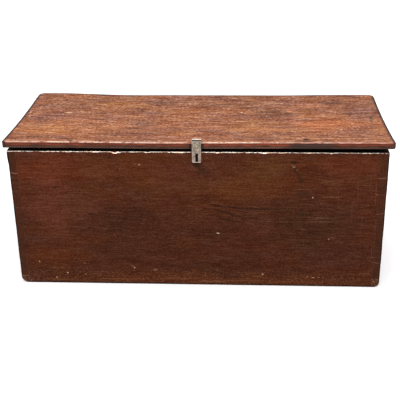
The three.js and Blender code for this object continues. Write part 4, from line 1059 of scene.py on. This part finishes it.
    # the lid's ends and back keep a dark arris: dirt, and painted shade where the rounding turns away from the light
    near = T.math("MINIMUM", T.math("MINIMUM", T.math("SUBTRACT", x, LID_L), T.math("SUBTRACT", LID_R, x)), T.math("SUBTRACT", LID_B + 2.0, y))
    near = T.sum(near, wz, 0.25)
    col = T.over(col, (T.range(near, 11.0, 7.5), 0.75, T.mix(T.range(em, 0.42, 0.6), lin(92, 60, 50), lin(62, 40, 34))), (T.range(near, 6.0, 4.0), 0.9, lin(34, 22, 20)),
                  (T.mul(T.range(x, LID_L + 15, LID_L + 9), T.range(y, LID_F + 14, LID_F + 8), T.range(deep, 1.0, 2.0)), 0.85, lin(60, 34, 28)))
    col = T.times(col, LID_TONE)
    # the underside is bare, and painted near black as shade where it overhangs the case
    raw = raw_wood(T, late, 6.0)
    col = T.mix(T.mul(T.range(T.nz, -0.55, -0.9), T.range(deep, 15.0, 18.0)), col, raw)
    col = T.over(col, (T.mul(T.range(y, -HY + 14, -HY - 2), T.range(T.nz, -0.1, -0.5)), 0.9, lin(30, 20, 16)))
    return finish_wood({"T": T, "col": col, "late": late}, rough=(0.40, 0.58), spec=0.12, bump=0.6)


def raw_material(name, seed):
    T = Tree(name)
    late = T.late_wood((20.0 * seed, -90.0), (12, 8), 5.6, 0.03, seed)
    col = raw_wood(T, late, seed)
    dn = T.range(T.fibre(60, 30, 4, off=(3, seed, 1)), 0.3, 0.7, 0.35, 0.8)
    col = T.over(col, (T.range(T.nz, -0.5, -0.9), dn, lin(78, 62, 50)))
    return finish_wood({"T": T, "col": col, "late": late}, rough=(0.6, 0.8), spec=0.15)


def metal(name, base, dark, rust, rust_amt, rough=(0.38, 0.62), metallic=0.85, pale=None):
    T = Tree(name)
    n1 = T.noise((7, 7, 7), 4, 0.6, (1, 0, 0))
    n2 = T.noise((3, 3, 3), 4, 0.65, (0, 4, 0))
    n3 = T.noise((1.2, 1.2, 1.2), 3, 0.6, (0, 0, 3))
    col = T.mix(T.range(n1, 0.38, 0.62), base, dark)
    col = T.over(col, (T.range(n2, 0.50, 0.66), rust_amt, rust), (T.range(n3, 0.58, 0.70), 0.45, dark))
    if pale:
        col = T.over(col, (T.range(n2, 0.47, 0.36), 0.6, pale))
    T.put(T.bsdf.inputs["Base Color"], col)
    T.bsdf.inputs["Metallic"].default_value = metallic
    T.put(T.bsdf.inputs["Roughness"], T.range(n2, 0.3, 0.7, rough[0], rough[1], smooth=False))
    T.put(T.bsdf.inputs["Normal"], T.bump(T.sum(T.mul(n2, 0.6), n3, 0.4), 0.35, 0.25))
    return T.mat


def strap_metal(pin_y, pin_z):
    T = Tree("hasp_strap_steel")
    x, y, z = T.x, T.y, T.z
    n1 = T.noise((8, 8, 14), 4, 0.62, (1, 0, 0))
    n2 = T.noise((4, 4, 5), 4, 0.65, (0, 4, 0))
    n3 = T.noise((1.4, 1.4, 1.4), 3, 0.6, (0, 0, 3))
    col = T.mix(T.range(n1, 0.40, 0.60), lin(176, 158, 140), lin(132, 120, 104))
    green = T.mul(T.range(z, 424.0, 440.0), T.range(n2, 0.44, 0.56))
    col = T.over(col, (green, 0.7, lin(118, 118, 88)), (T.range(n2, 0.54, 0.64), 0.45, lin(98, 84, 70)), (T.range(n3, 0.58, 0.70), 0.4, lin(88, 76, 62)),
                 (T.range(n2, 0.46, 0.37), 0.55, lin(222, 206, 190)))
    # rubbed pale at its sides and its end, with a painted highlight there; painted shade in the slot and in the corner
    # before the knuckle
    ax = T.sum(T.away(x, 2.0), n2, 2.0)
    col = T.over(col, (T.mul(T.range(ax, 11.9, 13.0), T.range(n1, 0.58, 0.45)), 0.5, lin(226, 210, 190)), (T.range(z, 401.9, 400.4), 0.55, lin(226, 210, 188)),
                 (T.mul(T.range(ax, 9.0, 11.5), T.range(x, 3.0, 6.0)), 0.3, lin(104, 94, 80)))
    col = T.times(col, (0.70, 0.66, 0.68, 1.0))
    # painted shade: near black in the slot and on the flat before the knuckle
    slot = T.mul(T.range(T.away(x, 2.4), 4.3, 3.8), T.range(T.away(z, 413.95), 13.2, 12.4))
    flat = T.mul(T.range(y, -243.3, -242.0), T.range(z, 455.0, 457.0))
    col = T.over(col, (slot, 0.96, lin(9, 7, 6)), (T.mul(flat, T.range(T.away(x, 2.0), 12.6, 10.5, 0.8, 1.0)), 0.95, lin(18, 12, 10)))
    # the knuckles: a painted highlight above and painted shadow below
    dy, dz = T.math("SUBTRACT", y, pin_y), T.math("SUBTRACT", z, pin_z)
    near = T.range(T.math("MULTIPLY_ADD", dy, dy, T.mul(dz, dz)), 12.5, 10.5)
    high = T.sum(T.mul(dz, 0.911), dy, 0.4115)
    col = T.over(col, (T.mul(near, T.range(high, 0.1, 0.7)), 0.9, lin(248, 226, 206)), (T.mul(near, T.range(high, 0.1, -0.5)), 0.9, lin(26, 18, 15)))
    T.put(T.bsdf.inputs["Base Color"], col)
    T.bsdf.inputs["Metallic"].default_value = 0.3
    T.put(T.bsdf.inputs["Roughness"], T.range(n2, 0.3, 0.7, 0.42, 0.62, smooth=False))
    T.put(T.bsdf.inputs["Normal"], T.bump(T.sum(T.mul(n2, 0.6), n3, 0.4), 0.35, 0.25))
    return T.mat


# ---------------------------------------------------------------- assembly
def dress(ob, mat, body, node):
    ob.data.materials.clear()
    ob.data.materials.append(mat)
    if node:
        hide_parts(node)
    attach(ob, body)
    return ob


dress(long_board("front_board_worn", False), front_board_material(), "case", "front_board")
dress(long_board("back_board_worn", True), plain_case_material("case_back_wood", "X", (150.0, 190.0), 5.0), "case", "back_board")
dress(end_board("left_end_board_worn", -1), plain_case_material("case_left_wood", "Y", (-640.0, 210.0), 3.0), "case", "left_end_board")
dress(end_board("right_end_board_worn", 1), plain_case_material("case_right_wood", "Y", (630.0, 230.0), 4.0), "case", "right_end_board")
dress(lid_board("lid_board_worn"), lid_material(), "lid", "lid_board")

by = IY + 12 - GAP
nail_at = []
for n in sorted(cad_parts):
    if n.startswith("bottom_nail"):
        lo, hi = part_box(n)
        nail_at.append(((lo.x + hi.x) * 500, (lo.y + hi.y) * 500, n))
for k, (nm, y0, y1) in enumerate([("front", -by, -71.5), ("middle", -70.7, 72.4), ("back", 73.2, by)]):
    dress(bottom_board(f"bottom_board_{nm}_worn", y0, y1, nail_at, 40 + k), raw_material(f"bottom_wood_{nm}", 1.0 + k), "case", f"bottom_board_{nm}")

IRON = metal("hinge_iron", lin(96, 88, 82), lin(58, 52, 48), lin(92, 58, 38), 0.5)
NAIL = metal("nail_iron", lin(80, 70, 62), lin(46, 38, 33), lin(88, 52, 34), 0.8, metallic=0.6)
STEEL = metal("hasp_steel", lin(150, 138, 120), lin(104, 94, 80), lin(104, 104, 80), 0.5, rough=(0.42, 0.62), metallic=0.5, pale=lin(196, 180, 160))
pin_lo, pin_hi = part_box("hasp_pin")
STRAP = strap_metal((pin_lo.y + pin_hi.y) * 500, (pin_lo.z + pin_hi.z) * 500)
for n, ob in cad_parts.items():
    if n.startswith("bottom_nail"):
        for s in ob.material_slots:
            s.material = NAIL
for n in sorted(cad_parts):
    if n.startswith(("hinge_", "hasp_")):
        body = "hasp" if n == "hasp_strap" else ("lid" if "_lid_" in n or n.startswith("hasp_") else "case")
        wdt = 0.35 if n.endswith(("leaf", "strap")) else 0.2
        dress(refined(n + "_worn", n, wdt), STRAP if n in ("hasp_strap", "hasp_lid_leaf") else STEEL if n.startswith("hasp") else IRON, body, n)


# ------------------------------------------------------------- studio
def stage_floor():
    me = bpy.data.meshes.new("floor")
    s = 30.0
    me.from_pydata([(-s, -s, 0), (s, -s, 0), (s, s, 0), (-s, s, 0)], [], [(0, 1, 2, 3)])
    ob = bpy.data.objects.new("floor", me)
    bpy.context.scene.collection.objects.link(ob)
    m = bpy.data.materials.new("floor")
    m.use_nodes = True
    b = m.node_tree.nodes["Principled BSDF"]
    b.inputs["Base Color"].default_value = (0.93, 0.93, 0.93, 1)
    b.inputs["Roughness"].default_value = 0.95
    b.inputs["Specular IOR Level"].default_value = 0.0
    me.materials.append(m)
    ob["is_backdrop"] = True


def area(name, loc, target, size, energy, colour=(1, 1, 1)):
    li = bpy.data.lights.new(name, "AREA")
    li.shape = "RECTANGLE"
    li.size, li.size_y = size
    li.energy = energy
    li.color = colour
    ob = bpy.data.objects.new(name, li)
    bpy.context.scene.collection.objects.link(ob)
    ob.location = loc
    ob.rotation_mode = "QUATERNION"
    ob.rotation_quaternion = (Vector(target) - Vector(loc)).to_track_quat("-Z", "Y")


def sun(name, towards, energy, soft, colour=(1, 1, 1)):
    li = bpy.data.lights.new(name, "SUN")
    li.energy = energy
    li.angle = math.radians(soft)
    li.color = colour
    ob = bpy.data.objects.new(name, li)
    bpy.context.scene.collection.objects.link(ob)
    ob.rotation_mode = "QUATERNION"
    ob.rotation_quaternion = Vector(towards).to_track_quat("-Z", "Y")


def studio_world():
    world = bpy.data.worlds.new("studio")
    bpy.context.scene.world = world
    world.use_nodes = True
    nt = world.node_tree
    bg = nt.nodes["Background"]
    bg.inputs[0].default_value = (1, 1, 1, 1)
    tc = nt.nodes.new("ShaderNodeTexCoord")
    sp = nt.nodes.new("ShaderNodeSeparateXYZ")
    nt.links.new(tc.outputs["Generated"], sp.inputs[0])
    mr = nt.nodes.new("ShaderNodeMapRange")
    mr.interpolation_type = "SMOOTHSTEP"
    nt.links.new(sp.outputs[2], mr.inputs[0])
    for i, v in ((1, 0.0), (2, 0.9), (3, 0.42), (4, 0.95)):
        mr.inputs[i].default_value = v
    nt.links.new(mr.outputs[0], bg.inputs[1])


stage_floor()
studio_world()
sun("key", (-0.12, 0.84, -0.55), 1.7, 24)
sun("top", (0.05, 0.25, -1.0), 1.2, 40)
bpy.context.scene.view_settings.view_transform = "Standard"
bpy.context.scene.view_settings.look = "None"

lo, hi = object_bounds()
